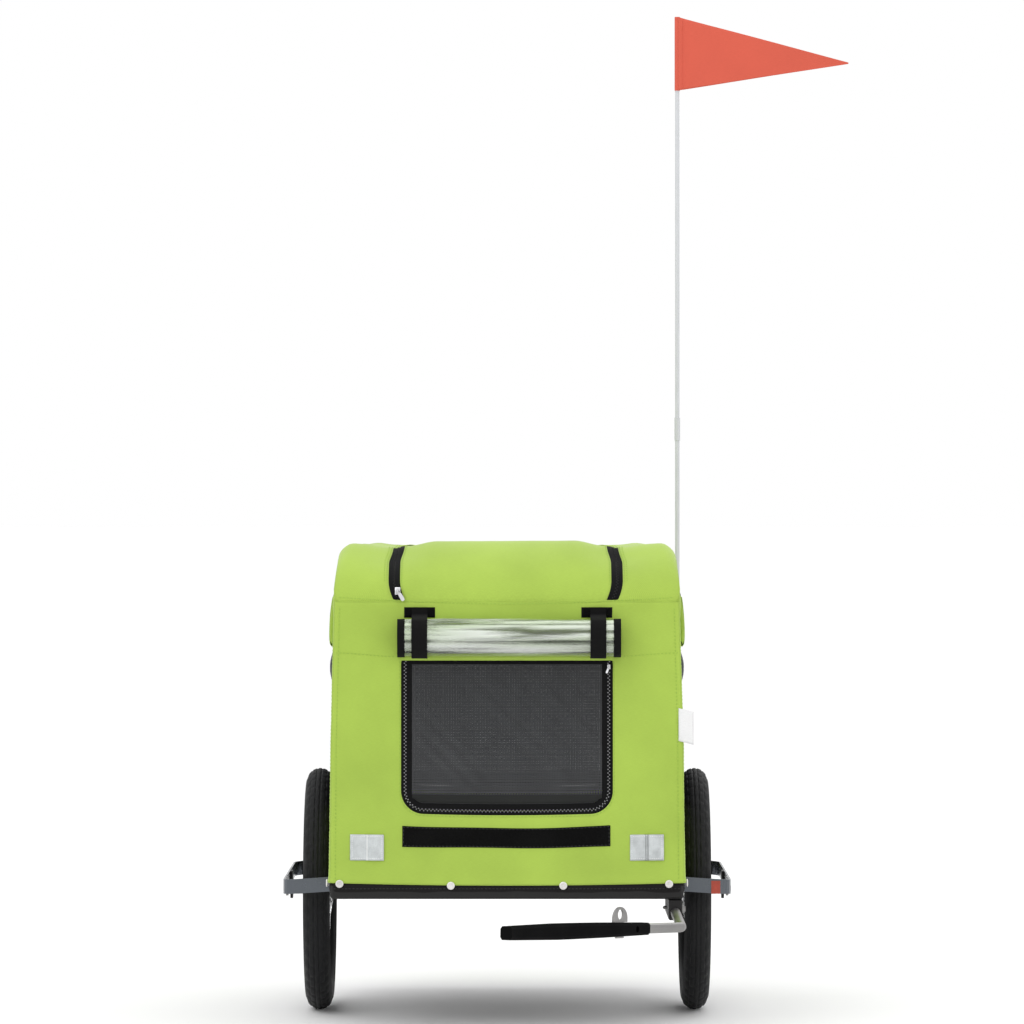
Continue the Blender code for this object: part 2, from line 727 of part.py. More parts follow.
def rear_end():
    opening = door_outline(REAR_DOOR_HALF_WIDTH, REAR_DOOR_LOW, REAR_DOOR_HIGH, -GAP)
    end_panel(1, "rear", opening)
    leaf = door_outline(REAR_DOOR_HALF_WIDTH, REAR_DOOR_LOW, REAR_DOOR_HIGH, 0.0)
    y_out = BASE_HALF_LENGTH
    door = prism_mesh(leaf, lambda u, v, end: (u, y_out - (MESH_CLOTH if end else 0), v))
    add("rear_door", door, "mesh_fabric", (0, y_out, REAR_DOOR_HIGH))


def sides():
    columns = roof_lines(-BASE_HALF_LENGTH, BASE_HALF_LENGTH)
    rows = (*PANEL_LEVELS, PANEL_LEVELS[-1] + 0.01, PANEL_LEVELS[-1] + 0.02)
    window = rounded_outline(
        (-WINDOW_HALF_LENGTH, WINDOW_LOW), (WINDOW_HALF_LENGTH, WINDOW_HIGH), WINDOW_CORNER
    )
    for side, name in ((1, "left"), (-1, "right")):

        def point(y, level, side=side):
            high = edge_z(y) - SEAM_GAP
            last = PANEL_LEVELS[-1]
            z = min(level, last) + (high - last) * max(0.0, level - last) / 0.02
            return Vector((side * side_x(z), y, z))

        def inward(co, side=side):
            return Vector((-side, 0, 0))

        panel = sheet_mesh(columns, rows, point, always, CLOTH, inward)
        ob = add(f"cover_side_{name}", panel, "green_fabric")
        cutter = prism_mesh(window, lambda u, v, end: (side * (0.25 if end else 0.30), u, v))
        boolean(ob, add(f"cover_side_{name}_opening", cutter, "green_fabric"))
        side_window(side, name)
        side_flap(side, name)


def side_window(side, name):
    """Mesh window that follows the side's slope."""
    low, high = WINDOW_LOW + GAP, WINDOW_HIGH - GAP
    reach = WINDOW_HALF_LENGTH - GAP
    outline = rounded_outline((-reach, low), (reach, high), WINDOW_CORNER - GAP)

    def place(y, z, end):
        return (side * (side_x(z) - (MESH_CLOTH if end else 0.0)), y, z)

    add(f"side_window_{name}", prism_mesh(outline, place), "mesh_fabric")


def side_flap(side, name):
    """Rolled-up flap above the window: a flattened roll that lies on the side panel."""
    middle = (FLAP_LOW + FLAP_HIGH) / 2
    half = (FLAP_HIGH - FLAP_LOW) / 2
    lean = (side_x(FLAP_LOW) - side_x(FLAP_HIGH)) / (2 * half)
    outline = []
    for i in range(13):
        angle = math.pi * (i / 12 - 0.5)
        outline.append((FLAP_PROUD * math.cos(angle), half * math.sin(angle)))

    def place(u, v, end):
        base = side_x(middle) - lean * v + GAP * 4
        return (side * (base + u), WINDOW_HALF_LENGTH * (1.03 if end else -1.03), middle + v)

    add(f"side_flap_{name}", prism_mesh(outline, place), "green_fabric", smooth=40)


def edge_fractions(y, x):
    return x / side_x(edge_z(y))


def roof():
    """Roof panel with a hole for its hatch, the hatch's zip, and the hatch."""
    hole = HATCH_HALF_WIDTH + GAP
    rim = tuple(side_x(0.75) - CORNER_RUN + CORNER_RUN * f for f in (0.0, 0.35, 0.6, 0.8, 0.93, 0.985))
    half = (0.0, 0.10, hole, *rim)
    full = side_x(edge_z(0.0))

    def scale_x(x, y):
        """Lines near the middle stay straight; those at the rim follow the edge."""
        edge = side_x(edge_z(y))
        blend = max(0.0, (abs(x) - hole) / (full - hole))
        return math.copysign(abs(x) + (edge - full) * blend, x)

    def point(x, y):
        x = scale_x(x, y)
        return roof_point(edge_fractions(y, x), y)

    columns = sorted({-x for x in half} | set(half) | {-full, full})
    reach = BASE_HALF_LENGTH
    rows = roof_lines(-reach, reach)
    rows = sorted({*rows, HATCH_FRONT - GAP, HATCH_REAR + GAP})

    def outside(x, y):
        return abs(x) > hole or not HATCH_FRONT - GAP < y < HATCH_REAR + GAP

    panel = sheet_mesh(columns, rows, point, outside, CLOTH, roof_inward)
    add("cover_roof", panel, "green_fabric")
    inner = HATCH_HALF_WIDTH - HATCH_ZIP_WIDTH
    back = HATCH_REAR - HATCH_ZIP_WIDTH
    zip_rows = sorted({*roof_lines(HATCH_FRONT, HATCH_REAR), back})
    zip_columns = (-HATCH_HALF_WIDTH, -inner, 0.0, inner, HATCH_HALF_WIDTH)

    def in_zip(x, y):
        return abs(x) > inner or y > back

    strip = sheet_mesh(zip_columns, zip_rows, point, in_zip, MESH_CLOTH, roof_inward)
    add("hatch_zip", strip, "black_webbing")
    reach_x = inner - GAP
    leaf_rows = roof_lines(HATCH_FRONT, back - GAP)
    leaf = sheet_mesh((-reach_x, 0.0, reach_x), leaf_rows, point, always, MESH_CLOTH, roof_inward)
    add("roof_hatch", leaf, "green_fabric", (0, HATCH_FRONT, roof_z(HATCH_FRONT)))
    at = HATCH_FRONT + 0.004
    slope = (roof_z(at + 0.002) - roof_z(at - 0.002)) / 0.004
    point_at = Vector((-(HATCH_HALF_WIDTH - HATCH_ZIP_WIDTH / 2), at, roof_z(at)))
    slider("hatch_zip_slider", point_at + Vector((0, -0.0012, 0.0004)), math.pi / 2 - math.atan(slope))


# ---- trim on the front ---------------------------------------------------------------


def front_trim():
    face = -BASE_HALF_LENGTH - GAP
    (x0, z0), (x1, z1) = HOOK_STRIP
    strip = box_mesh((x0, face - TRIM_THICKNESS, z0), (x1, face, z1))
    add("hook_loop_strip", strip, "black_webbing")
    low, high = REFLECTOR_Z
    for side, name in ((1, "left"), (-1, "right")):
        x = side * REFLECTOR_X
        patch = box_mesh(
            (x - REFLECTOR_HALF_WIDTH, face - TRIM_THICKNESS, low), (x + REFLECTOR_HALF_WIDTH, face, high)
        )
        add(f"front_reflector_{name}", soften(patch, 0.0005), "reflective")
    rain_cover(face)
    for x, name in zip(STRAP_X, ("right", "left")):
        roll_strap(x, face, name)


def roll_axis(face):
    return face - STRAP_THICKNESS - GAP - ROLL_HALF_DEPTH


def rain_cover(face):
    """Clear rain cover, rolled up and strapped above the door."""
    axis = roll_axis(face)
    outline = [(ROLL_HALF_DEPTH * u, ROLL_HALF_HEIGHT * v) for u, v in circle(1.0, 20)]
    roll = prism_mesh(
        outline,
        lambda u, v, end: (ROLL_HALF_LENGTH * (1 if end else -1), axis + u, ROLL_CENTRE_Z + v),
    )
    add("rain_cover", roll, "clear_sheet", smooth=40)


def roll_strap(x, face, name):
    """Webbing loop round the roll, with its upper end on a wide sewn patch."""
    axis = roll_axis(face)
    off = STRAP_THICKNESS / 2 + GAP
    half = STRAP_THICKNESS / 2
    path = [Vector((x, face - half, STRAP_TOP)), Vector((x, face - half, ROLL_CENTRE_Z + 0.0360))]
    for i in range(13):
        angle = math.pi * (0.40 - 0.85 * i / 12)
        depth = (ROLL_HALF_DEPTH + off) * math.cos(angle)
        rise = (ROLL_HALF_HEIGHT + off) * math.sin(angle)
        path.append(Vector((x, axis - depth, ROLL_CENTRE_Z + rise)))
    profile = (
        (-STRAP_HALF_WIDTH, -half),
        (STRAP_HALF_WIDTH, -half),
        (STRAP_HALF_WIDTH, half),
        (-STRAP_HALF_WIDTH, half),
    )
    strap = sweep_mesh(path, profile, (0, -1, 0.001))
    add(f"roll_strap_{name}", strap, "black_webbing", smooth=40)


# ---- drawbar -------------------------------------------------------------------------


def arm_point(t):
    return DRAWBAR_BEND.lerp(DRAWBAR_TIP, t)


def arm_frame(t):
    """Matrix whose X runs along the arm, whose Y is across it and whose Z is up from it."""
    along = (DRAWBAR_TIP - DRAWBAR_BEND).normalized()
    across = Vector((0, 0, 1)).cross(along).normalized()
    rise = along.cross(across)
    frame = Matrix((along, across, rise)).transposed().to_4x4()
    frame.translation = arm_point(t)
    return frame


def arm_height(t):
    return mix(ARM_HEIGHTS, (t - ARM_START) / (1 - ARM_START))


def receiver():
    x0, x1 = RECEIVER_X - RECEIVER_HALF_WIDTH, RECEIVER_X + RECEIVER_HALF_WIDTH
    high = BASE_LOW - 0.0005
    shell = box_mesh((x0, RECEIVER_FRONT, RECEIVER_LOW), (x1, RECEIVER_REAR, high))
    ob = add("drawbar_receiver", soften(shell, 0.002), "black_steel")
    bore = rod_mesh(
        (RECEIVER_X, RECEIVER_FRONT - 0.01, DRAWBAR_Z),
        (RECEIVER_X, RECEIVER_REAR + 0.01, DRAWBAR_Z),
        DRAWBAR_RADIUS + GAP,
    )
    boolean(ob, add("receiver_bore", bore, "black_steel"))
    boolean(ob, add("receiver_pin_hole", pin_hole(), "black_steel"))


def pin_hole():
    reach = RECEIVER_HALF_WIDTH + 0.02
    return rod_mesh(
        (RECEIVER_X - reach, PIN_Y, DRAWBAR_Z),
        (RECEIVER_X + reach, PIN_Y, DRAWBAR_Z),
        PIN_RADIUS + GAP,
        12,
    )


def drawbar():
    receiver()
    end = arm_point(ARM_START) + (DRAWBAR_TIP - DRAWBAR_BEND).normalized() * ARM_SPIGOT
    corners = ((RECEIVER_X, DRAWBAR_TAIL_Y, DRAWBAR_Z), DRAWBAR_BEND, end)
    path = rounded_path(corners, (DRAWBAR_BEND_RADIUS,), 8)
    tube = add("drawbar_tube", sweep_mesh(path, circle(DRAWBAR_RADIUS, 16)), "zinc", smooth=40)
    boolean(tube, add("tube_pin_hole", pin_hole(), "zinc"))
    arm()
    eye_plate()
    lock_pin()


def arm():
    """Black arm that the tube's end is held in, deeper in the middle, cut square at the tip."""
    steps = 12
    fractions = [ARM_START + (1 - ARM_START) * i / steps for i in range(steps + 1)]
    half_width = ARM_WIDTH / 2
    profile = [
        (half_width * u, 0.5 * v)
        for u, v in ((-1, -0.6), (-0.7, -1), (0.7, -1), (1, -0.6), (1, 0.6), (0.7, 1), (-0.7, 1), (-1, 0.6))
    ]
    path = [arm_point(t) for t in fractions]
    body = sweep_mesh(path, profile, heights=[arm_height(t) for t in fractions])
    ob = add("drawbar_arm", body, "black_plastic")
    frame = arm_frame(ARM_START)
    bore = rod_mesh((-0.01, 0, 0), (ARM_SPIGOT + GAP, 0, 0), DRAWBAR_RADIUS + GAP)
    bore.transform(frame)
    boolean(ob, add("arm_bore", bore, "black_plastic"))
    hole = rod_mesh((0, -0.02, 0), (0, 0.02, 0), ARM_HOLE_RADIUS, 20)
    hole.transform(arm_frame(ARM_HOLE))
    boolean(ob, add("arm_hole", hole, "black_plastic"))
    reach, wide = EYE_TONGUE + GAP, EYE_THICKNESS / 2 + GAP
    slot = box_mesh((-reach, -wide, -0.03), (reach, wide, 0.03))
    slot.transform(arm_frame(EYE_AT))
    boolean(ob, add("arm_slot", slot, "black_plastic"))


def eye_plate():
    """Plate with a round eye, standing on the arm, with a tongue down through it."""
    half_height = arm_height(EYE_AT) / 2
    top = half_height + GAP * 2
    outline = [(-EYE_TONGUE, -half_height - 0.003), (EYE_TONGUE, -half_height - 0.003)]
    outline += [(EYE_TONGUE, top), (EYE_HALF_LENGTH, top)]
    for i in range(13):
        angle = math.pi * i / 12
        rise = (EYE_RISE - EYE_SHOULDER) * math.sin(angle)
        outline.append((EYE_HALF_LENGTH * math.cos(angle), half_height + EYE_SHOULDER + rise))
    outline += [(-EYE_HALF_LENGTH, top), (-EYE_TONGUE, top)]
    plate = prism_mesh(outline, lambda u, v, end: (u, EYE_THICKNESS * (end - 0.5), v))
    plate.transform(arm_frame(EYE_AT))
    ob = add("hitch_eye_plate", plate, "zinc")
    height = half_height + EYE_HOLE_RISE
    hole = rod_mesh((0, -0.01, height), (0, 0.01, height), EYE_HOLE_RADIUS, 20)
    hole.transform(arm_frame(EYE_AT))
    boolean(ob, add("eye_hole", hole, "zinc"))


def lock_pin():
    """Pin that locks the tube in its receiver, pulled out sideways by its head."""
    start = RECEIVER_X - RECEIVER_HALF_WIDTH - 0.006
    face = RECEIVER_X + RECEIVER_HALF_WIDTH + GAP
    profile = (
        (start, PIN_RADIUS * 0.5),
        (start + 0.003, PIN_RADIUS),
        (face, PIN_RADIUS),
        (face, PIN_RADIUS * 2),
        (face + 0.004, PIN_RADIUS * 2),
    )
    pin = turned_mesh(profile, 12, False)
    bmesh.ops.translate(pin, vec=(0, PIN_Y, DRAWBAR_Z), verts=pin.verts)
    add("drawbar_lock_pin", pin, "zinc", (face, PIN_Y, DRAWBAR_Z), 30)


# ---- flag ----------------------------------------------------------------------------


def flag():
    socket_high = FLAG_SOCKET_HIGH
    body = rod_mesh((POLE_X, POLE_Y, BASE_LOW), (POLE_X, POLE_Y, socket_high), FLAG_SOCKET_RADIUS)
    socket = add("flag_socket", body, "black_plastic", smooth=30)
    web = box_mesh(
        (BASE_HALF_WIDTH + GAP, POLE_Y - 0.005, BASE_LOW), (POLE_X - 0.005, POLE_Y + 0.005, BASE_HIGH)
    )
    boolean(socket, add("flag_socket_web", web, "black_plastic"), "UNION")
    bore_low = POLE_LOW - GAP
    bore = rod_mesh((POLE_X, POLE_Y, bore_low), (POLE_X, POLE_Y, 0.3), POLE_RADIUS + GAP, 12)
    boolean(socket, add("flag_socket_bore", bore, "black_plastic"))
    foot = (POLE_X, POLE_Y, POLE_LOW)
    pole = rod_mesh(foot, (POLE_X, POLE_Y, POLE_HIGH), POLE_RADIUS, 12)
    add("flag_pole", pole, "white_glassfibre", foot, 30)
    sleeve = rod_mesh((POLE_X, POLE_Y, FLAG_LOW), (POLE_X, POLE_Y, FLAG_TOP), FLAG_SLEEVE)
    cloth = add("flag", sleeve, "flag_fabric", foot, 30)
    outline = ((POLE_X, FLAG_LOW), FLAG_TIP, (POLE_X, FLAG_TOP))
    pennant = prism_mesh(outline, lambda u, v, end: (u, POLE_Y + FLAG_THICKNESS * (end - 0.5), v))
    boolean(cloth, add("flag_pennant", pennant, "flag_fabric"), "UNION")
    hole = rod_mesh((POLE_X, POLE_Y, FLAG_LOW - 0.01), (POLE_X, POLE_Y, POLE_HIGH + GAP), POLE_RADIUS + GAP, 12)
    boolean(cloth, add("flag_hole", hole, "flag_fabric"))


def main():
    clear_scene()
    add_root()
    wheel(1, "left")
    wheel(-1, "right")
    base_frame()
    floor()
    wheel_guard(1, "left")
    wheel_guard(-1, "right")
    guard_reflector()
    hoops()
    roof_bars()
    front_end()
    rear_end()
    sides()
    roof()
    front_trim()
    drawbar()
    flag()


main()
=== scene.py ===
import json
import math

import bmesh
import bpy
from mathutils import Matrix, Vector, noise

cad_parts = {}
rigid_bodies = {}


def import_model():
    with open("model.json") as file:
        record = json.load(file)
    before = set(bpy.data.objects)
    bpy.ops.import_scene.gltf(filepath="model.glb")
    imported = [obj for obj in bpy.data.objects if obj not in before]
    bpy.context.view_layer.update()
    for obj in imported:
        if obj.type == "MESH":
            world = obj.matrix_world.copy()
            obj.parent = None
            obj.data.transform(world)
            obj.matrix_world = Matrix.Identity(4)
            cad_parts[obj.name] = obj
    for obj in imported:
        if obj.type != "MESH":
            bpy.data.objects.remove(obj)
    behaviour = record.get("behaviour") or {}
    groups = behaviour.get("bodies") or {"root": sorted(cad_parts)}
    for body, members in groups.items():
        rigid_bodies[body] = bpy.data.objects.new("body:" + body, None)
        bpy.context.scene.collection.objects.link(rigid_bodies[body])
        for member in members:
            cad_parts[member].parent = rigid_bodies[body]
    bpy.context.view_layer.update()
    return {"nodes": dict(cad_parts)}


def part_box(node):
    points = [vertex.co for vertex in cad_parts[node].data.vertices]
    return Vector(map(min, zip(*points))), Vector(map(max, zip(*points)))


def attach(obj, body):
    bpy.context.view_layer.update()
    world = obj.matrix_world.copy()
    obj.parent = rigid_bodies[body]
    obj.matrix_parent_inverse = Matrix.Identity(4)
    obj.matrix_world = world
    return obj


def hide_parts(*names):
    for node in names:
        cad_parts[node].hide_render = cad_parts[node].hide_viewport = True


for ob in list(bpy.data.objects):
    bpy.data.objects.remove(ob, do_unlink=True)
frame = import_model()

# ---- driving dimensions, in metres; z is 0 on the floor mat ---------------------------

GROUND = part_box("tyre_left")[0].z
HALF_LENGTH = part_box("cover_roof")[1].y
COVER_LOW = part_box("cover_front")[0].z
SEAM_Z = 0.434
ROOF_RISE = 0.094
ROOF_RUN = 0.120
ROOF_ROUNDNESS = 1.6
CORNER_DROP = 0.030
CORNER_RUN = 0.032
CORNER = 0.007
# The cabin's half width at each height.
SIDE_WIDTHS = ((-0.040, 0.2821), (0.210, 0.2805), (0.436, 0.2745), (0.500, 0.2690), (0.540, 0.2650))
SEWN_Z = 0.3465
# How far cloth stands off the CAD's cover, how thick it is, and its mesh cell.
PROUD = 0.0006
CLOTH = 0.0011
CELL = 0.0055

# Each opening's half width, lower edge, upper edge and rounded corner.
DOOR = (0.168, 0.0985, 0.3405, 0.035)
REAR_DOOR = (0.190, 0.0950, 0.3700, 0.035)
WINDOW = (0.260, 0.1100, 0.3520, 0.040)
TAPE = 0.0130
ZIP_GAP = 0.00005
HATCH_HALF = 0.1862
HATCH_LEAF = 0.1679
HATCH_FRONT = -0.4198
HATCH_REAR = 0.300
HATCH_CORNER = 0.030

STUD_X = (-0.2612, -0.089, 0.0892, 0.2533)
STUD_Y = (-0.404, -0.140, 0.140, 0.404)
STUD_Z = -0.0142

WHEEL_X = 0.311
WHEEL_Z = GROUND + 0.200
TYRE_RING = 0.1775
TYRE_SECTION = 0.0225

CAMERA_AT = (0.008, -9.0, 0.576)
CAMERA_LENS = 190.2

UP = Vector((0, 0, 1))


# ---- node helpers ---------------------------------------------------------------------


def material(name, colour, rough, metal=0.0, **more):
    """A new Principled material; colour is linear RGB and more holds other sockets by name."""
    mat = bpy.data.materials.new(name)
    mat.use_nodes = True
    shader = mat.node_tree.nodes["Principled BSDF"]
    shader.inputs["Base Color"].default_value = (*colour, 1.0)
    shader.inputs["Roughness"].default_value = rough
    shader.inputs["Metallic"].default_value = metal
    for key, value in more.items():
        shader.inputs[key.replace("_", " ")].default_value = value
    return mat


def make(mat, kind, settings=None, **inputs):
    """A new node; an input is a value or another node's output."""
    made = mat.node_tree.nodes.new(kind)
    for key, value in (settings or {}).items():
        setattr(made, key, value)
    for key, value in inputs.items():
        socket = made.inputs[int(key[1:])] if key[1:].isdigit() else made.inputs[key.replace("_", " ")]
        if isinstance(value, bpy.types.NodeSocket):
            mat.node_tree.links.new(value, socket)
        else:
            socket.default_value = value
    return made


def maths(mat, operation, a, b=0.0, **more):
    """Result of a maths node; more can hold i2, its third value."""
    return make(mat, "ShaderNodeMath", {"operation": operation}, i0=a, i1=b, **more).outputs[0]


def place_of(mat, kind="Object", scale=(1, 1, 1)):
    """Coordinates in metres, from the piece or from its cloth map."""
    source = make(mat, "ShaderNodeTexCoord").outputs[kind]
    return make(mat, "ShaderNodeMapping", Vector=source, Scale=scale).outputs[0]


def cloud(mat, coords, scale, detail=3.0, rough=0.5):
    made = make(mat, "ShaderNodeTexNoise", Vector=coords, Scale=scale, Detail=detail, Roughness=rough)
    return made.outputs[0]


def ramp(mat, value, low, high, to_low, to_high):
    made = make(
        mat, "ShaderNodeMapRange", {"clamp": True}, Value=value, From_Min=low, From_Max=high,
        To_Min=to_low, To_Max=to_high,
    )
    return made.outputs[0]


def blend_colour(mat, share, one, two, kind="MIX"):
    """Colour between two colours, which are linear RGB or sockets."""
    one = one if isinstance(one, bpy.types.NodeSocket) else (*one, 1.0)
    two = two if isinstance(two, bpy.types.NodeSocket) else (*two, 1.0)
    settings = {"data_type": "RGBA", "blend_type": kind}
    return make(mat, "ShaderNodeMix", settings, i0=share, i6=one, i7=two).outputs[2]


def feed(mat, **sockets):
    """Joins outputs to the shader's sockets by name."""
    shader = mat.node_tree.nodes["Principled BSDF"]
    for key, value in sockets.items():
        mat.node_tree.links.new(value, shader.inputs[key.replace("_", " ")])
    return mat


def bump(mat, height, distance, strength=1.0):
    made = make(mat, "ShaderNodeBump", Height=height, Distance=distance, Strength=strength)
    return made.outputs[0]


def waves(mat, coords, across, along, kind="SINE"):
    """Waves of the first two coordinates, one cycle in each given length."""
    split = make(mat, "ShaderNodeSeparateXYZ", Vector=coords)
    return [
        maths(mat, kind, maths(mat, "MULTIPLY", split.outputs[i], 2 * math.pi / length))
        for i, length in enumerate((across, along))
    ]


def weave(mat, coords, pitch):
    """Height of a plain weave, from 0 to 1, and the product of its thread waves."""
    both = maths(mat, "MULTIPLY", *waves(mat, coords, 2 * pitch, 2 * pitch))
    return maths(mat, "MULTIPLY_ADD", both, 0.5), both


def scaled(colour, by):
    return tuple(c * by for c in colour)


def clouded(mat, value, colour, low, high):
    """The colour times low to high, as a cloud's value rises."""
    share = ramp(mat, value, 0.3, 0.7, 0.0, 1.0)
    return blend_colour(mat, share, scaled(colour, low), scaled(colour, high))


def dimmed(mat, colour, level):
    """A colour multiplied by a level."""
    grey = make(mat, "ShaderNodeCombineColor", i0=level, i1=level, i2=level).outputs[0]
    return blend_colour(mat, 1.0, colour, grey, "MULTIPLY")


# ---- materials ------------------------------------------------------------------------


def cloth_material(
    name, colour, pitch, rough, variation=0.07, sheen=0.25, depth=0.00022, map_kind="UV"
):
    """Woven cloth: thread bumps, darker gaps, and slow changes of shade."""
    mat = material(
        name, colour, rough, Sheen_Weight=sheen, Sheen_Roughness=0.45, Specular_IOR_Level=0.25,
    )
    body = place_of(mat)
    height, both = weave(mat, place_of(mat, map_kind), pitch)
    fuzz = cloud(mat, body, 900.0, 2.0)
    streak = cloud(mat, place_of(mat, map_kind, (1.0, 14.0, 1.0)), 130.0, 2.0)
    shade = clouded(mat, cloud(mat, body, 9.0), colour, 1.0 - variation, 1.0 + variation)
    gap = ramp(mat, both, -1.0, 1.0, 0.86, 1.05)
    thread = maths(mat, "MULTIPLY", gap, ramp(mat, streak, 0.25, 0.75, 0.95, 1.05))
    rough_out = ramp(mat, fuzz, 0.3, 0.7, rough - 0.06, rough + 0.06)
    relief = maths(mat, "MULTIPLY_ADD", fuzz, 0.35, i2=height)
    normal = bump(mat, relief, depth, 0.8)
    return feed(mat, Base_Color=dimmed(mat, shade, thread), Roughness=rough_out, Normal=normal)


def webbing_material(name, colour, rib):
    """Narrow woven tape: ribs along it and a fine cross weave."""
    mat = material(name, colour, 0.85, Sheen_Weight=0.03, Specular_IOR_Level=0.10)
    across, along = waves(mat, place_of(mat, "UV"), rib, rib * 0.7)
    height = maths(mat, "ADD", across, maths(mat, "MULTIPLY", along, 0.5))
    fuzz = cloud(mat, place_of(mat), 700.0, 2.0)
    share = ramp(mat, height, -1.5, 1.5, 0.0, 1.0)
    shade = blend_colour(mat, share, scaled(colour, 0.75), scaled(colour, 1.6))
    worn = blend_colour(mat, ramp(mat, fuzz, 0.45, 0.8, 0.0, 0.5), shade, scaled(colour, 2.2))
    return feed(mat, Base_Color=worn, Normal=bump(mat, height, 0.0002, 0.7))


def net_material(name, colour, pitch, cover, low=1.0, high=1.0):
    """Open net: round holes on a square pitch; low and high scale its colour at the door's lower and
    upper ends, a painted light-and-shade ramp.
    """
    mat = material(name, colour, 0.55, Specular_IOR_Level=0.12)
    coords = place_of(mat, "UV")
    total = maths(mat, "ADD", *waves(mat, coords, pitch, pitch, "COSINE"))
    thread = ramp(mat, total, cover, cover + 0.35, 1.0, 0.0)
    broad = cloud(mat, place_of(mat, "UV", (1.0, 0.35, 1.0)), 28.0, 2.0)
    shade = clouded(mat, broad, colour, 0.93, 1.07)
    height = make(mat, "ShaderNodeSeparateXYZ", Vector=coords).outputs[1]
    # Painted light and shade: the colour is scaled from low at the door's bottom to high at its top.
    level = ramp(mat, height, DOOR[1], DOOR[2], low, high)
    normal = bump(mat, thread, 0.0003, 0.8)
    return feed(mat, Base_Color=dimmed(mat, shade, level), Alpha=thread, Normal=normal)


def hard_material(name, colour, rough, metal, grain=0.0, spots=0.0, speck=260.0, **more):
    """Metal, paint or thread: fine orange peel, cloudy roughness, and light wear on edges."""
    mat = material(name, colour, rough, metal, **more)
    coords = place_of(mat)
    fine = cloud(mat, coords, speck)
    broad = cloud(mat, coords, 22.0, 4.0)
    shade = clouded(mat, broad, colour, 0.88 - spots, 1.12 + spots)
    edge = make(mat, "ShaderNodeNewGeometry").outputs["Pointiness"]
    worn = blend_colour(mat, ramp(mat, edge, 0.54, 0.62, 0.0, 0.5), shade, scaled(colour, 1.9))
    rough_out = ramp(mat, broad, 0.25, 0.75, max(0.03, rough - 0.09), rough + 0.11)
    normal = bump(mat, fine, 0.00006 + grain, 0.5)
    return feed(mat, Base_Color=worn, Roughness=rough_out, Normal=normal)


def rubber_material():
    colour = (0.0085, 0.0088, 0.0094)
    mat = material("tyre_rubber", colour, 0.66, Specular_IOR_Level=0.18)
    coords = place_of(mat)
    fine = cloud(mat, coords, 420.0)
    broad = cloud(mat, coords, 14.0, 4.0)
    shade = clouded(mat, broad, colour, 0.8, 1.5)
    dust = blend_colour(mat, ramp(mat, fine, 0.5, 0.75, 0.0, 0.35), shade, (0.030, 0.029, 0.028))
    rough = ramp(mat, broad, 0.3, 0.7, 0.52, 0.74)
    return feed(mat, Base_Color=dust, Roughness=rough, Normal=bump(mat, fine, 0.0002, 0.5))


def reflector_material(name, colour, cell, **more):
    """Reflective sheet: small bright cells under a smooth skin."""
    mat = material(name, colour, 0.30, 0.30, Coat_Weight=0.3, Coat_Roughness=0.15, **more)
    coords = place_of(mat)
    kind = {"feature": "DISTANCE_TO_EDGE"}
    cells = make(mat, "ShaderNodeTexVoronoi", kind, Vector=coords, Scale=1.0 / cell).outputs[0]
    edge = ramp(mat, cells, 0.0, 0.08, 1.0, 0.0)
    shade = clouded(mat, cloud(mat, coords, 60.0), colour, 0.80, 1.14)
    lined = blend_colour(mat, maths(mat, "MULTIPLY", edge, 0.45), shade, scaled(colour, 0.55))
    return feed(mat, Base_Color=lined, Normal=bump(mat, cells, 0.0003, 0.35))


FILM_GREEN = (0.44, 0.57, 0.30)
FILM_WHITE = (0.95, 0.98, 0.95)


def film_material():
    """Clear PVC film: see-through low on the roll, white streaks along it that are partly cloudy film
    and partly painted highlights, whiter towards the top as a painted highlight, and glossy.
    """
    mat = material(
        "clear_film", FILM_WHITE, 0.06, Specular_IOR_Level=0.9, Coat_Weight=1.0, Coat_Roughness=0.04,
    )
    streaks = cloud(mat, place_of(mat, "Object", (0.05, 1.0, 1.0)), 120.0, 2.0, 0.5)
    slow = cloud(mat, place_of(mat, "Object", (0.10, 1.0, 1.0)), 30.0, 2.0)
    height = make(mat, "ShaderNodeSeparateXYZ", Vector=place_of(mat)).outputs[2]
    streaky = ramp(mat, streaks, 0.42, 0.60, 0.04, 0.55)
    # Painted highlight: the white streaks turn more opaque towards the top of the roll.
    milky_and_painted_highlight = maths(mat, "MULTIPLY", streaky, ramp(mat, height, 0.352, 0.402, 0.32, 1.30))
    tint = blend_colour(mat, ramp(mat, slow, 0.35, 0.65, 0.0, 1.0), FILM_GREEN, FILM_WHITE)
    return feed(mat, Base_Color=tint, Alpha=milky_and_painted_highlight, Normal=bump(mat, streaks, 0.0009, 0.6))


def board_material():
    """Dark moulded sheet with a fine pebble grain."""
    mat = material("floor_board", (0.022, 0.022, 0.023), 0.6)
    coords = place_of(mat)
    grain = make(mat, "ShaderNodeTexVoronoi", Vector=coords, Scale=420.0).outputs[0]
    broad = cloud(mat, coords, 12.0)
    shade = blend_colour(mat, broad, (0.016, 0.016, 0.017), (0.032, 0.032, 0.033))
    return feed(mat, Base_Color=shade, Normal=bump(mat, grain, 0.0003, 0.6))


def pile_material(name, colour, pitch):
    """Hook-and-loop tape: short bristly pile."""
    mat = material(name, colour, 0.95, Sheen_Weight=0.04, Specular_IOR_Level=0.08)
    coords = place_of(mat)
    tuft = make(mat, "ShaderNodeTexVoronoi", Vector=coords, Scale=1.0 / pitch, Randomness=0.55)
    near = ramp(mat, tuft.outputs[0], 0.0, 0.6, 1.0, 0.0)
    shade = blend_colour(mat, near, scaled(colour, 0.45), scaled(colour, 2.0))
    return feed(mat, Base_Color=shade, Normal=bump(mat, near, 0.0008, 0.8))


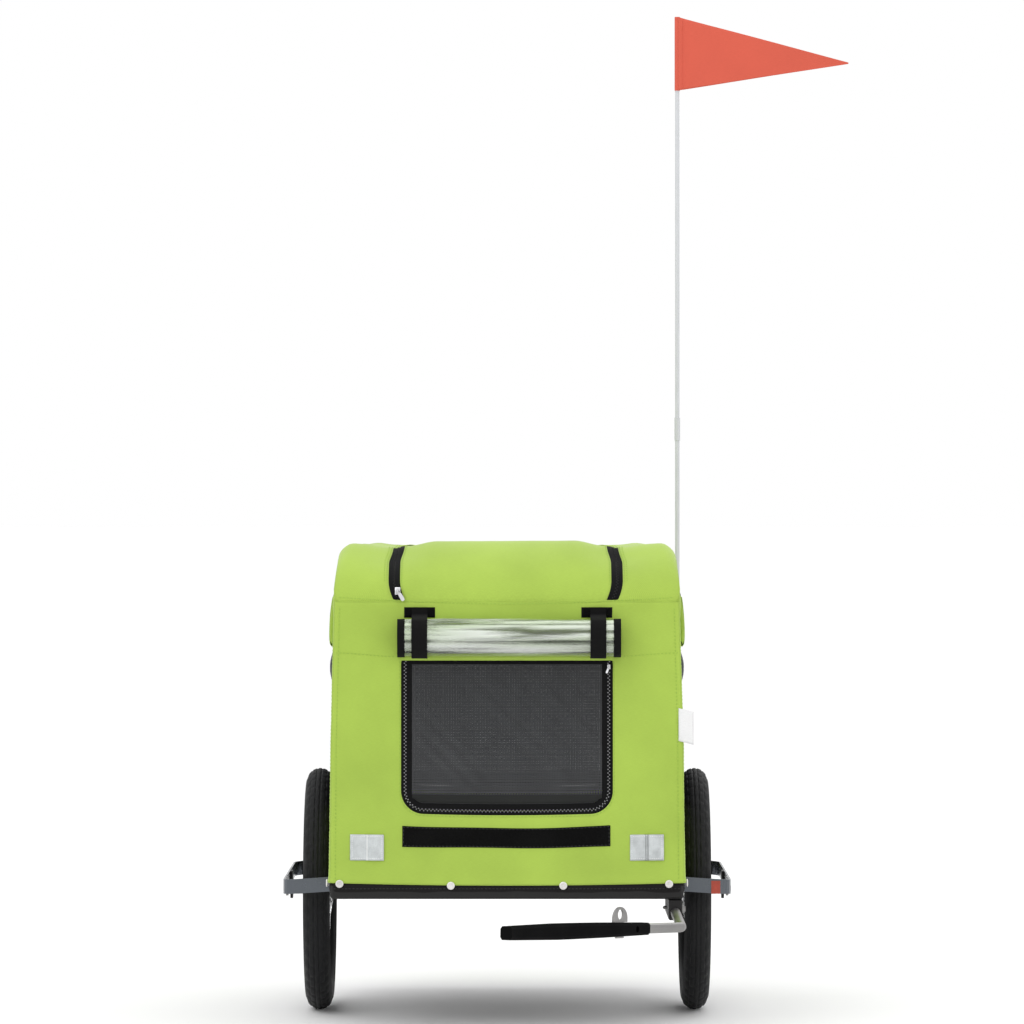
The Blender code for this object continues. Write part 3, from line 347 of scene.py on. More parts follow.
def pole_material():
    dark, light = (0.50, 0.51, 0.53), (0.60, 0.61, 0.63)
    mat = material("white_glassfibre", light, 0.40, Coat_Weight=0.2)
    fibre = cloud(mat, place_of(mat, "Object", (1.0, 1.0, 0.02)), 1500.0, 2.0)
    shade = blend_colour(mat, ramp(mat, fibre, 0.3, 0.7, 0.0, 1.0), dark, light)
    return feed(mat, Base_Color=shade, Normal=bump(mat, fibre, 0.00006, 0.4))


def make_materials():
    """Every material by a short key; colours are linear RGB."""
    green = (0.368, 0.520, 0.078)
    black = (0.012, 0.012, 0.012)
    matt = {"Specular_IOR_Level": 0.25}
    return {
        "green": cloth_material("green_cloth", green, 0.0011, 0.86),
        "green_thread": hard_material("green_thread", (0.205, 0.315, 0.043), 0.8, 0.0),
        "black_thread": hard_material("black_thread", black, 0.7, 0.0),
        "white_thread": hard_material("white_thread", (0.70, 0.70, 0.68), 0.7, 0.0),
        "base_cloth": cloth_material("black_cloth", (0.0080, 0.0070, 0.0072), 0.0011, 0.88, 0.12, 0.03),
        "lining": cloth_material("lining", (0.018, 0.019, 0.018), 0.0011, 0.90, 0.12, 0.04),
        "mat": cloth_material(
            "mat_cloth", (0.024, 0.024, 0.026), 0.0016, 0.9, 0.15, 0.3, 0.0004, "Object",
        ),
        "webbing": webbing_material("black_webbing", (0.0042, 0.0041, 0.0042), 0.0016),
        "tape": webbing_material("zip_tape", (0.0048, 0.0048, 0.0051), 0.0009),
        # The front net gets painted light at the door's bottom (x1.20) and painted shade at its top
        # (x0.80).
        "net": net_material("net", (0.046, 0.047, 0.049), 0.0042, 0.90, 1.20, 0.80),
        "rear_net": net_material("rear_net", (0.030, 0.031, 0.033), 0.0018, 1.50),
        "pile": pile_material("hook_and_loop", (0.0042, 0.0042, 0.0041), 0.0011),
        "coil": hard_material("zip_coil", (0.170, 0.170, 0.175), 0.38, 0.2),
        "dark_coil": hard_material("dark_zip_coil", black, 0.50, 0.0, **matt),
        "bright": hard_material("bright_metal", (0.50, 0.50, 0.51), 0.16, 1.0),
        "zinc": hard_material("zinc_plate", (0.22, 0.215, 0.212), 0.40, 1.0, 0.00004, 0.10),
        "guard": hard_material("guard_steel", (0.075, 0.082, 0.092), 0.22, 0.85, 0.0, 0.06),
        "powder": hard_material(
            "black_powder_coat", (0.0090, 0.0086, 0.0086), 0.48, 0.0, 0.0001, **matt,
        ),
        "arm": hard_material(
            "black_arm_coat", (0.0030, 0.0030, 0.0032), 0.75, 0.0, 0.0001, Specular_IOR_Level=0.03,
        ),
        "plastic": hard_material(
            "black_plastic", (0.0120, 0.0120, 0.0130), 0.48, 0.0, 0.00008, 0.0, 700.0,
        ),
        "stud": hard_material("white_stud", (0.66, 0.64, 0.62), 0.30, 0.15, Coat_Weight=0.4),
        "rim": hard_material("rim_steel", (0.48, 0.48, 0.49), 0.20, 1.0),
        "spoke": hard_material("spoke_steel", (0.62, 0.62, 0.62), 0.18, 1.0),
        "tyre": rubber_material(),
        "reflective": reflector_material("silver_reflective", (0.54, 0.57, 0.575), 0.0021),
        "red": reflector_material("red_reflective", (0.40, 0.045, 0.020), 0.0018),
        "film": film_material(),
        "board": board_material(),
        "pole": pole_material(),
        "flag": cloth_material("flag_cloth", (0.640, 0.108, 0.068), 0.0008, 0.82, 0.04, 0.2, 0.0001),
        "label": cloth_material("label_cloth", (0.80, 0.80, 0.80), 0.0006, 0.75, 0.03, 0.1, 0.0001),
    }


# ---- mesh helpers ---------------------------------------------------------------------


def mix(table, value):
    """Straight-line reading of a table of (key, result) pairs."""
    for (k0, v0), (k1, v1) in zip(table, table[1:]):
        if value <= k1:
            return v0 + (v1 - v0) * max(0.0, (value - k0) / (k1 - k0))
    return table[-1][1]


def ease(value, low, high):
    """0 below low, 1 above high, and a smooth change between them."""
    t = min(1.0, max(0.0, (value - low) / (high - low)))
    return t * t * (3 - 2 * t)


def soft_mix(table, value):
    """As mix, with smooth steps between the table's rows."""
    for (k0, v0), (k1, v1) in zip(table, table[1:]):
        if value <= k1:
            return v0 + (v1 - v0) * ease(value, k0, k1)
    return table[-1][1]


def lines(low, high, cell, extra=()):
    """Grid positions about one cell apart that include every extra position."""
    count = max(1, round((high - low) / cell))
    fixed = sorted({low, high, *(e for e in extra if low < e < high)})
    made = set(fixed)
    for i in range(count + 1):
        at = low + (high - low) * i / count
        if min(abs(at - f) for f in fixed) > 0.45 * cell:
            made.add(at)
    return sorted(made)


def circle(radius, sides):
    turns = [2 * math.pi / sides * i for i in range(sides)]
    return [(radius * math.cos(t), radius * math.sin(t)) for t in turns]


def box_profile(low, high, soft=0.0002):
    """Rectangle with cut corners; low and high are (across, up)."""
    (a0, h0), (a1, h1) = low, high
    middle = (a0 + a1) / 2
    return [
        (a0 + soft, h0), (middle, h0), (a1 - soft, h0), (a1, h0 + soft), (a1, h1 - soft),
        (a1 - soft, h1), (middle, h1), (a0 + soft, h1), (a0, h1 - soft), (a0, h0 + soft),
    ]


def length_of(path):
    return sum((b - a).length for a, b in zip(path, path[1:]))


def walk(path, goals):
    """Point, direction and span number at each of the distances along a path."""
    spans = [(b - a).length for a, b in zip(path, path[1:])]
    i, walked = 0, 0.0
    for goal in goals:
        while i < len(spans) - 1 and walked + spans[i] < goal:
            walked += spans[i]
            i += 1
        point = path[i].lerp(path[i + 1], (goal - walked) / spans[i])
        yield point, (path[i + 1] - path[i]).normalized(), i


def resample(path, step):
    """The same line with points about one step apart."""
    total = length_of(path)
    count = max(2, round(total / step))
    inner = [point for point, _, _ in walk(path, [total * k / count for k in range(1, count)])]
    return [path[0], *inner, path[-1]]


def smooth_line(points, steps=6):
    """A curve through the points."""
    points = [Vector(p) for p in points]
    ends = [points[0] * 2 - points[1], *points, points[-1] * 2 - points[-2]]
    made = []
    for a, b, c, d in zip(ends, ends[1:], ends[2:], ends[3:]):
        for k in range(steps):
            t = k / steps
            made.append(
                0.5 * (b * 2 + (c - a) * t + (a * 2 - b * 5 + c * 4 - d) * t ** 2
                       + (b * 3 - a - c * 3 + d) * t ** 3)
            )
    made.append(points[-1])
    return made


def directions(path, closed=False):
    """The path's direction at each of its points."""
    count = len(path)
    made = []
    for i in range(count):
        before = path[(i - 1) % count] if closed or i else path[0]
        after = path[(i + 1) % count] if closed or i < count - 1 else path[-1]
        made.append((after - before).normalized())
    return made


# A stitch's rings: (along its length, rise, width), in shares of its length and radius.
STITCH = ((-0.5, -0.6, 0.4), (-0.3, 0.5, 1.0), (0.3, 0.5, 1.0), (0.5, -0.6, 0.4))


class Build:
    """One mesh in the making, with a cloth map in metres."""

    def __init__(self):
        self.bm = bmesh.new()
        self.layer = self.bm.loops.layers.uv.new("metres")
        self.spots = {}

    def vert(self, point, u=0.0, v=0.0):
        made = self.bm.verts.new(point)
        self.spots[made] = (u, v)
        return made

    def loft(self, rings, closed=False):
        """Faces between rings of vertices; the ends get a cap unless the path is closed."""
        for one, two in zip(rings, rings[1:] + rings[:1] if closed else rings[1:]):
            for corners in zip(one, one[1:] + one[:1], two[1:] + two[:1], two):
                self.bm.faces.new(corners)
        if not closed:
            self.bm.faces.new(list(reversed(rings[0])))
            self.bm.faces.new(rings[-1])

    def sheet(self, rows, closed=False, flip=False):
        """Faces between rows of vertices, as a sheet."""
        for one, two in zip(rows, rows[1:] + rows[:1] if closed else rows[1:]):
            for corners in zip(one, one[1:], two[1:], two):
                self.bm.faces.new(tuple(reversed(corners)) if flip else corners)

    def ribbon(self, path, normals, profile, closed=False):
        """Sweeps profile, pairs of (across, up), along a path; normals say which way is up."""
        path = [Vector(p) for p in path]
        ways = directions(path, closed)
        rings, walked = [], 0.0
        for i, (point, way) in enumerate(zip(path, ways)):
            walked += (point - path[i - 1]).length if i else 0.0
            up = normals[i] if isinstance(normals, list) else Vector(normals)
            across = up.cross(way).normalized()
            rise = way.cross(across)
            rings.append([
                self.vert(point + across * a + rise * h, a + h, walked) for a, h in profile
            ])
        self.loft(rings, closed)

    def tube(self, path, radius, sides=8, closed=False, up=None):
        """Round tube; radius is one number or one for each point."""
        path = [Vector(p) for p in path]
        ways = directions(path, closed)
        rise = Vector(up) if up else (UP if abs(ways[0].z) < 0.9 else Vector((0, 1, 0)))
        rings, walked = [], 0.0
        for i, (point, way) in enumerate(zip(path, ways)):
            walked += (point - path[i - 1]).length if i else 0.0
            across = rise.cross(way).normalized()
            rise = way.cross(across).normalized()
            r = radius[i] if isinstance(radius, (list, tuple)) else radius
            rings.append([
                self.vert(point + (across * a + rise * h) * r, k * 0.001, walked)
                for k, (a, h) in enumerate(circle(1.0, sides))
            ])
        self.loft(rings, closed)

    def turned(self, profile, centre, axis, sides=32, closed=False):
        """Turned solid; profile holds (along the axis, radius)."""
        centre, axis = Vector(centre), Vector(axis).normalized()
        side = axis.orthogonal().normalized()
        other = axis.cross(side)
        rings = []
        for along, radius in profile:
            rings.append([
                self.vert(
                    centre + axis * along + (side * a + other * b) * radius, a * radius, b * radius,
                )
                for a, b in circle(1.0, sides)
            ])
        self.loft(rings, closed)

    def block(self, centre, axes, half, soft=0.25):
        """Small block with cut corners, for teeth and tabs."""
        centre = Vector(centre)
        a, b, c = (Vector(v).normalized() * h for v, h in zip(axes, half))
        rings = []
        for level, size in ((-1, 1 - soft), (-1 + soft, 1), (1 - soft, 1), (1, 1 - soft)):
            rings.append([
                self.vert(centre + a * x * size + b * y * size + c * level)
                for x, y in ((-1, -1), (1, -1), (1, 1), (-1, 1))
            ])
        self.loft(rings)

    def stitches(self, path, normals, pitch=0.0060, length=0.0038, radius=0.00060):
        """A row of thread stitches that dip into the cloth at both ends."""
        path = [Vector(p) for p in path]
        goals = [(k + 0.5) * pitch for k in range(int(length_of(path) / pitch))]
        for point, way, i in walk(path, goals):
            up = normals[i] if isinstance(normals, list) else Vector(normals)
            across = up.cross(way).normalized()
            rings = []
            for along, rise, size in STITCH:
                at = point + way * along * length + up * rise * radius
                rings.append([
                    self.vert(at + (across * a + up * b) * size) for a, b in circle(radius, 5)
                ])
            self.loft(rings)

    def piece(self, name, mat, body, slot=None, nodes=(), smooth=35, solid=True):
        """Makes the object, which rides on a CAD body and stands for CAD nodes."""
        if solid:
            bmesh.ops.recalc_face_normals(self.bm, faces=self.bm.faces)
        for face in self.bm.faces:
            for loop in face.loops:
                loop[self.layer].uv = self.spots.get(loop.vert, (0.0, 0.0))
        mesh = bpy.data.meshes.new(name)
        self.bm.to_mesh(mesh)
        self.bm.free()
        made = bpy.data.objects.new(name, mesh)
        bpy.context.scene.collection.objects.link(made)
        mesh.materials.append(mat)
        mesh.shade_smooth()
        if smooth < 180:
            mesh.set_sharp_from_angle(angle=math.radians(smooth))
        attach(made, body)
        if nodes:
            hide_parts(*nodes)
        return made


def thicken(ob, thickness, offset=-1.0):
    """Gives a sheet its thickness; offset -1 puts it all behind and 0 half on each side."""
    made = ob.modifiers.new("Thickness", "SOLIDIFY")
    made.thickness = thickness
    made.offset = offset
    return ob


# ---- cloth surfaces -------------------------------------------------------------------


def cloth_relief(point):
    """How far taut cloth stands out from its drawn shape: slow waves and a few upright pulls."""
    broad = noise.noise(point * 6.5) * 0.0013
    pulls = noise.noise(Vector((point.x * 21, point.y * 21, point.z * 6 + 3.0))) * 0.00045
    small = noise.noise(point * 60.0) * 0.00010
    return broad + pulls + small


def pucker(distance, along, reach=0.016, amount=0.00045):
    """Small gathers beside a row of stitches."""
    if distance > reach:
        return 0.0
    fade = (1 - distance / reach) ** 2
    return amount * fade * noise.noise(Vector((along * 95.0, 7.3, 0.4)))


class Skin:
    """A cloth surface; place(u, v) gives its points and out is a way out of it at its middle."""

    def __init__(self, place, middle, out, relief=None):
        self.place = place
        self.relief = relief
        self.sign = 1.0
        self.sign = 1.0 if self.normal(*middle).dot(Vector(out)) > 0 else -1.0

    def normal(self, u, v, step=0.0005):
        along = self.place(u + step, v) - self.place(u - step, v)
        across = self.place(u, v + step) - self.place(u, v - step)
        return along.cross(across).normalized() * self.sign

    def at(self, u, v, lift=0.0):
        """Point and normal of the shown surface, raised by lift."""
        point, normal = self.place(u, v), self.normal(u, v)
        rise = PROUD + lift + cloth_relief(point)
        if self.relief:
            rise += self.relief(u, v)
        return point + normal * rise, normal

    def row(self, spots, lift=0.0):
        """Points and normals along a list of (u, v)."""
        made = [self.at(u, v, lift) for u, v in spots]
        return [p for p, _ in made], [n for _, n in made]


def inset(u, v, us, vs):
    """How far a spot lies inside a patch's edges."""
    return min(u - us[0], us[-1] - u, v - vs[0], vs[-1] - v)


def outline_distance(u, v, hole):
    """Distance outside a rectangle (u0, u1, v0, v1, lower corner, upper corner); negative inside."""
    u0, u1, v0, v1, low_corner, high_corner = hole
    r = low_corner if v < (v0 + v1) / 2 else high_corner
    du = abs(u - (u0 + u1) / 2) - (u1 - u0) / 2 + r
    dv = abs(v - (v0 + v1) / 2) - (v1 - v0) / 2 + r
    return math.hypot(max(du, 0.0), max(dv, 0.0)) + min(max(du, dv), 0.0) - r


def snap(u, v, hole):
    """Nearest spot on the outline to a spot near it."""
    for _ in range(3):
        d = outline_distance(u, v, hole)
        e = 0.0001
        gu = (outline_distance(u + e, v, hole) - outline_distance(u - e, v, hole)) / (2 * e)
        gv = (outline_distance(u, v + e, hole) - outline_distance(u, v - e, hole)) / (2 * e)
        u, v = u - d * gu, v - d * gv
    return u, v


def panel(name, skin, us, vs, mat, body, slot, nodes=(), hole=None, inside=None, lift=0.0, thick=CLOTH):
    """A sheet of cloth on a skin, cut round a hole or along an outline that it lies inside."""
    made = Build()
    grid = {}

    def vert(i, j):
        if (i, j) not in grid:
            grid[i, j] = made.vert((0, 0, 0), us[i], vs[j])
        return grid[i, j]

    outline = hole or inside
    for i in range(len(us) - 1):
        for j in range(len(vs) - 1):
            if outline:
                d = outline_distance((us[i] + us[i + 1]) / 2, (vs[j] + vs[j + 1]) / 2, outline)
                if d < 0 if hole else d > 0:
                    continue
            corners = (vert(i, j), vert(i + 1, j), vert(i + 1, j + 1), vert(i, j + 1))
            made.bm.faces.new(corners if skin.sign > 0 else tuple(reversed(corners)))
    if outline:
        for one in [v for v in made.bm.verts if v.is_boundary]:
            u, v = made.spots[one]
            border = hole and (u in (us[0], us[-1]) or v in (vs[0], vs[-1]))
            if not border and abs(outline_distance(u, v, outline)) < 1.3 * CELL:
                made.spots[one] = snap(u, v, outline)
    for one, (u, v) in made.spots.items():
        one.co = skin.at(u, v, lift(u, v) if callable(lift) else lift)[0]
    ob = made.piece(name, mat, body, slot, nodes, 180, solid=False)
    return thicken(ob, thick)


# ---- the cabin's shape ----------------------------------------------------------------


def side_x(z):
    return mix(SIDE_WIDTHS, z)


def up_the_roof(y):
    """0 at the cabin's ends and 1 where the roof is level."""
    return min(1.0, max(0.0, (HALF_LENGTH - abs(y)) / ROOF_RUN))


def roof_z(y):
    rise = (1 - (1 - up_the_roof(y)) ** ROOF_ROUNDNESS) ** (1 / ROOF_ROUNDNESS)
    return SEAM_Z + ROOF_RISE * rise


def edge_z(y):
    return roof_z(y) - CORNER_DROP * up_the_roof(y)


def round_in(y):
    """How far the cabin's upright corner has turned in at y."""
    over = min(CORNER, max(0.0, abs(y) - (HALF_LENGTH - CORNER)))
    return CORNER - math.sqrt(CORNER ** 2 - over ** 2)


def roof_y(z, side=-1):
    """Where the roof's middle line is at a height, towards the front or rear."""
    if z <= SEAM_Z:
        return side * HALF_LENGTH
    rise = min(1.0, (z - SEAM_Z) / ROOF_RISE)
    back = 1 - (1 - rise ** ROOF_ROUNDNESS) ** (1 / ROOF_ROUNDNESS)
    return side * (HALF_LENGTH - ROOF_RUN * back)


PLAIN_HALF = 0.200
FLAT_HALF = 0.270
LEVEL_Z = 0.360
TOP_V = 0.500


def lower_sag(across):
    """The cover's lower edge hangs a little lower in the middle."""
    return 0.0042 * max(0.0, 1 - across ** 2) - 0.0013


def end_place(side):
    """Front or rear of the tub; u runs across and turns round its corners, v is the height."""

    def place(u, v):
        z = v - lower_sag(u / 0.28) * (1 - ease(v, COVER_LOW, 0.020))
        z -= 0.0035 * max(0.0, 1 - (u / 0.17) ** 2) * math.exp(-((v - DOOR[1]) / 0.03) ** 2)
        flat = side_x(z) - CORNER
        reach = HALF_LENGTH - CORNER
        a = abs(u)
        angle = max(0.0, (a - FLAT_HALF) / CORNER)
        if a <= PLAIN_HALF:
            x = a
        elif a <= FLAT_HALF:
            x = PLAIN_HALF + (a - PLAIN_HALF) * (flat - PLAIN_HALF) / (FLAT_HALF - PLAIN_HALF)
        else:
            x = flat + CORNER * math.sin(angle)
        return Vector((math.copysign(x, u), side * (reach + CORNER * math.cos(angle)), z))

    return place


def side_place(side):
    """Left or right of the tub; u runs along it and round its corners, v is the height."""

    def place(u, v):
        reach = HALF_LENGTH - CORNER
        a = abs(u)
        angle = max(0.0, (a - reach) / CORNER)
        y = a if a <= reach else reach + CORNER * math.sin(angle)
        turned = CORNER * (1 - math.cos(angle))
        y = math.copysign(y, u)
        low = v - lower_sag(u / 0.42) * (1 - ease(v, COVER_LOW, 0.020))
        top = edge_z(y)
        z = low if v <= LEVEL_Z else LEVEL_Z + (v - LEVEL_Z) * (top - LEVEL_Z) / (TOP_V - LEVEL_Z)
        return Vector((side * (side_x(z) - turned), y, z))

    return place


RIM_START = 0.2320
RIM_TURN = 0.0420


def roof_place(u, v):
    """Roof; u runs across, and past RIM_START it turns down over the rim."""
    y = max(-HALF_LENGTH, min(HALF_LENGTH, v))
    edge = side_x(edge_z(y)) - round_in(y)
    base = roof_z(y)
    drop = base - edge_z(y)
    a = abs(u)
    inner = edge - CORNER_RUN
    if a <= PLAIN_HALF:
        x, z = a, base
    elif a <= RIM_START:
        share = (a - PLAIN_HALF) / (RIM_START - PLAIN_HALF)
        x, z = PLAIN_HALF + share * (inner - PLAIN_HALF), base
    else:
        angle = (a - RIM_START) / RIM_TURN * math.pi / 2
        x, z = inner + CORNER_RUN * math.sin(angle), base - drop * (1 - math.cos(angle))
    low = max(0.0, 1 - (base - SEAM_Z) / 0.035) ** 2 if v < 0 else 0.0
    outer = 1 - ease(a, 0.192, RIM_START)
    narrow = 0.0095 * low + 0.0060 * ease(base - SEAM_Z, 0.066, ROOF_RISE)
    x -= narrow * ease(a, 0.09, 0.175) * outer
    return Vector((math.copysign(x, u) - 0.0020 * outer, v, z))


# Height of the roof's crown across it, and the share of its rear dip there.
CROWN = (
    (0.0, 0.0008), (0.110, 0.0005), (0.166, -0.0080), (0.180, -0.0105), (0.196, -0.0098),
    (0.230, -0.0045), (0.248, -0.0010), (0.262, -0.0002), (0.300, -0.0010),
)
REAR_DIP = (
    (0.0, 1.0), (0.150, 1.0), (0.180, 0.0), (0.214, 0.0), (0.236, 1.0), (0.256, 0.8), (0.275, 0.0),
)


def roof_relief(u, v):
    """The roof bulges between its zips and sinks along them."""
    whole = ease(HALF_LENGTH - abs(v), 0.004, 0.075)
    back = ease(v, HATCH_REAR - 0.02, HATCH_REAR + 0.08)
    crown = soft_mix(CROWN, abs(u)) * (1 - 0.5 * back)
    hoop = math.exp(-((abs(v) - 0.315) / 0.030) ** 2) * 0.0014
    between = -0.0030 * (1 - (min(abs(v), 0.315) / 0.315) ** 2)
    behind = ease(v, -0.05, 0.25) * (1 - ease(v, 0.310, 0.350))
    between -= 0.0045 * behind * soft_mix(REAR_DIP, abs(u))
    puckers = pucker(HALF_LENGTH - abs(v), u)
    return crown * whole + (hoop + between) * whole + puckers


def round_hole(u, v, hole):
    """Gathers round a cut edge."""
    return pucker(max(outline_distance(u, v, hole), 0.0), u + v, 0.022, 0.0007)


def hem(v):
    return 0.0014 * (1 - ease(v, COVER_LOW, COVER_LOW + 0.014))


def end_relief(hole):
    """Gathers beside the seams and a little tension round the door."""

    def relief(u, v):
        total = pucker(abs(v - SEWN_Z), u) + pucker(SEAM_Z - v, u)
        total += pucker(abs(FLAT_HALF - abs(u)), v) + round_hole(u, v, hole) + hem(v)
        return total + 0.0012 * math.exp(-((v - 0.05) / 0.05) ** 2) * (1 - (u / 0.28) ** 2)

    return relief


def side_relief(u, v):
    total = round_hole(u, v, window_hole()) + pucker(abs(HALF_LENGTH - CORNER - abs(u)), v) + hem(v)
    return total - 0.0008 * ease(v, 0.0, 0.10) * (1 - ease(v, 0.40, 0.48))


def door_hole(door, grow=0.0):
    half, low, high, corner = door
    return (-half - grow, half + grow, low - grow, high, corner + grow, 0.0015)


def window_hole(grow=0.0):
    half, low, high, corner = WINDOW
    return (-half - grow, half + grow, low - grow, high + grow, corner + grow, corner + grow)


HATCH_HOLE = (-HATCH_HALF, HATCH_HALF, -0.60, HATCH_REAR, 0.001, HATCH_CORNER)
LEAF_GAP = 0.018
LEAF_EDGE = (-HATCH_LEAF, HATCH_LEAF, -0.60, HATCH_REAR - LEAF_GAP, 0.001, HATCH_CORNER - 0.014)

FRONT = Skin(end_place(-1), (0.1, 0.05), (0, -1, 0), end_relief(door_hole(DOOR)))
REAR = Skin(end_place(1), (0.1, 0.05), (0, 1, 0), end_relief(door_hole(REAR_DOOR)))
ROOF = Skin(roof_place, (0.0, 0.0), (0, 0, 1), roof_relief)
SIDES = {
    "left": Skin(side_place(1), (0.0, 0.05), (1, 0, 0), side_relief),
    "right": Skin(side_place(-1), (0.0, 0.05), (-1, 0, 0), side_relief),
}


# ---- cover ----------------------------------------------------------------------------


def with_corners(inner, start):
    """The grid lines and four more round the upright corner at both ends, from start."""
    turn = [start + CORNER * math.pi / 4 * k / 3 for k in range(4)]
    return sorted({*inner, *turn, *(-t for t in turn)})


def end_panels(mats):
    """Front and rear panels, each cut round its door."""
    for skin, door, name in ((FRONT, DOOR, "front"), (REAR, REAR_DOOR, "rear")):
        half, low, high, _ = door
        us = with_corners(lines(-FLAT_HALF, FLAT_HALF, CELL, (-half, half)), FLAT_HALF)
        vs = lines(COVER_LOW, SEAM_Z, CELL, (low, high, SEWN_Z, COVER_LOW + 0.004))
        ob = panel(
            f"cabin_{name}_panel", skin, us, vs, mats["green"], "chassis", "green_fabric",
            (f"cover_{name}",), hole=door_hole(door),
        )


def side_panels(mats):
    """Left and right panels, each with its window and rolled flap."""
    reach = HALF_LENGTH - CORNER
    bend = HALF_LENGTH - ROOF_RUN * 0.5
    half, low, high, _ = WINDOW
    flat = [u for u in lines(-reach, reach, CELL, (-half, half)) if abs(u) <= bend]
    near = [y for y in roof_rows() if bend < abs(y) < reach - 0.0005]
    us = with_corners(flat + near, reach)
    vs = lines(COVER_LOW, TOP_V, CELL, (low, high, COVER_LOW + 0.004))
    for name, side in (("left", 1), ("right", -1)):
        ob = panel(
            f"cabin_{name}_panel", SIDES[name], us, vs, mats["green"], "chassis", "green_fabric",
            (f"cover_side_{name}",), hole=window_hole(),
        )
        side_window(mats, name)
        side_flap(mats, name, side)


def roof_rows(extra=()):
    """Rows along the roof, close together where it rises at the front and rear."""
    steps = 26
    power = 2 / ROOF_ROUNDNESS
    turns = [max(0.0, math.cos(math.pi / 2 * k / steps)) for k in range(steps + 1)]
    near = [HALF_LENGTH - ROOF_RUN * (1 - t ** power) for t in turns]
    flat = HALF_LENGTH - ROOF_RUN
    level = lines(-flat, flat, CELL * 1.1, extra)
    return sorted({*level, *near, *(-n for n in near), *extra})


def roof_panel(mats):
    """Roof, with its hatch leaf and zip."""
    rim = [RIM_START + RIM_TURN * k / 9 for k in range(10)]
    us = lines(-RIM_START, RIM_START, CELL, (-HATCH_HALF, HATCH_HALF))
    us = sorted({*us, *rim, *(-r for r in rim)})
    vs = roof_rows((HATCH_FRONT, HATCH_REAR))
    hole = (HATCH_HOLE[0], HATCH_HOLE[1], HATCH_FRONT, HATCH_REAR, 0.0005, HATCH_CORNER)
    ob = panel(
        "cabin_roof_panel", ROOF, us, vs, mats["green"], "chassis", "green_fabric", ("cover_roof",),
        hole=hole,
    )
    rear = HATCH_REAR - LEAF_GAP
    leaf_vs = [y for y in roof_rows((HATCH_FRONT, rear)) if HATCH_FRONT <= y <= rear]
    leaf_us = lines(-HATCH_LEAF, HATCH_LEAF, CELL)
    leaf = panel(
        "hatch_leaf", ROOF, leaf_us, leaf_vs, mats["green"], "roof_hatch", "green_fabric",
        ("roof_hatch",), inside=LEAF_EDGE,
    )
    hatch_zip(mats)


def turned_path(half, near, far, corner, inwards):
    """Spots down one long side, round two corners and back up the other side."""
    a, r = half - inwards, max(0.001, corner - inwards)
    way = 1 if far > near else -1
    end = far - way * inwards
    spots = [(-a, v) for v in even(near, end - way * r)]
    turns = [math.pi / 2 * k / 12 for k in range(1, 12)]
    spots += [(-a + r * (1 - math.cos(t)), end - way * r * (1 - math.sin(t))) for t in turns]
    spots += [(u, end) for u in even(-a + r, a - r)]
    spots += [(a - r * (1 - math.sin(t)), end - way * r * (1 - math.cos(t))) for t in turns]
    return spots + [(a, v) for v in even(end - way * r, near)]


def even(low, high, step=0.004):
    count = max(1, round(abs(high - low) / step))
    return [low + (high - low) * k / count for k in range(count + 1)]


def rectangle(u0, u1, v0, v1):
    """Spots along the four edges of a rectangle."""
    spots = [(u, v0) for u in even(u0, u1)] + [(u1, v) for v in even(v0, v1)]
    return spots + [(u, v1) for u in even(u1, u0)] + [(u0, v) for v in even(v1, v0)]


def tooth_row(made, path, normals, side, offset, pitch=0.0058):
    """Zip teeth along a path, on its side (+1 or -1); offset starts them part of a pitch along."""
    goals = [(k + offset) * pitch for k in range(int(length_of(path) / pitch))]
    for point, way, i in walk(path, goals):
        up = normals[i]
        across = up.cross(way).normalized()
        centre = point + across * side * 0.0012 + up * 0.0003
        made.block(centre, (way, across, up), (0.00085, 0.0009, 0.0007))


def zip_pair(mats, name, skin, path_at, middle, tape, moving, nodes, lift, coil):
    """Both tapes and both rows of teeth of a zip; path_at(inwards) gives spots on the skin."""
    outer = (middle + 0.0030) / 2
    inner = (tape - middle) / 2
    for part, body, at, half, side, offset, stands_for in (
        ("fixed", "chassis", middle - outer - ZIP_GAP, outer, 1, 0.25, nodes),
        ("moving", moving, middle + inner + ZIP_GAP, inner, -1, 0.75, ()),
    ):
        made = Build()
        made.ribbon(*skin.row(path_at(at), lift), box_profile((-half, -0.0007), (half, 0.0)))
        made.piece(f"{name}_{part}_tape", mats["tape"], body, "black_webbing", stands_for)
        made = Build()
        tooth_row(made, *skin.row(path_at(middle), lift), side, offset)
        made.piece(f"{name}_{part}_teeth", mats[coil], body, smooth=30)


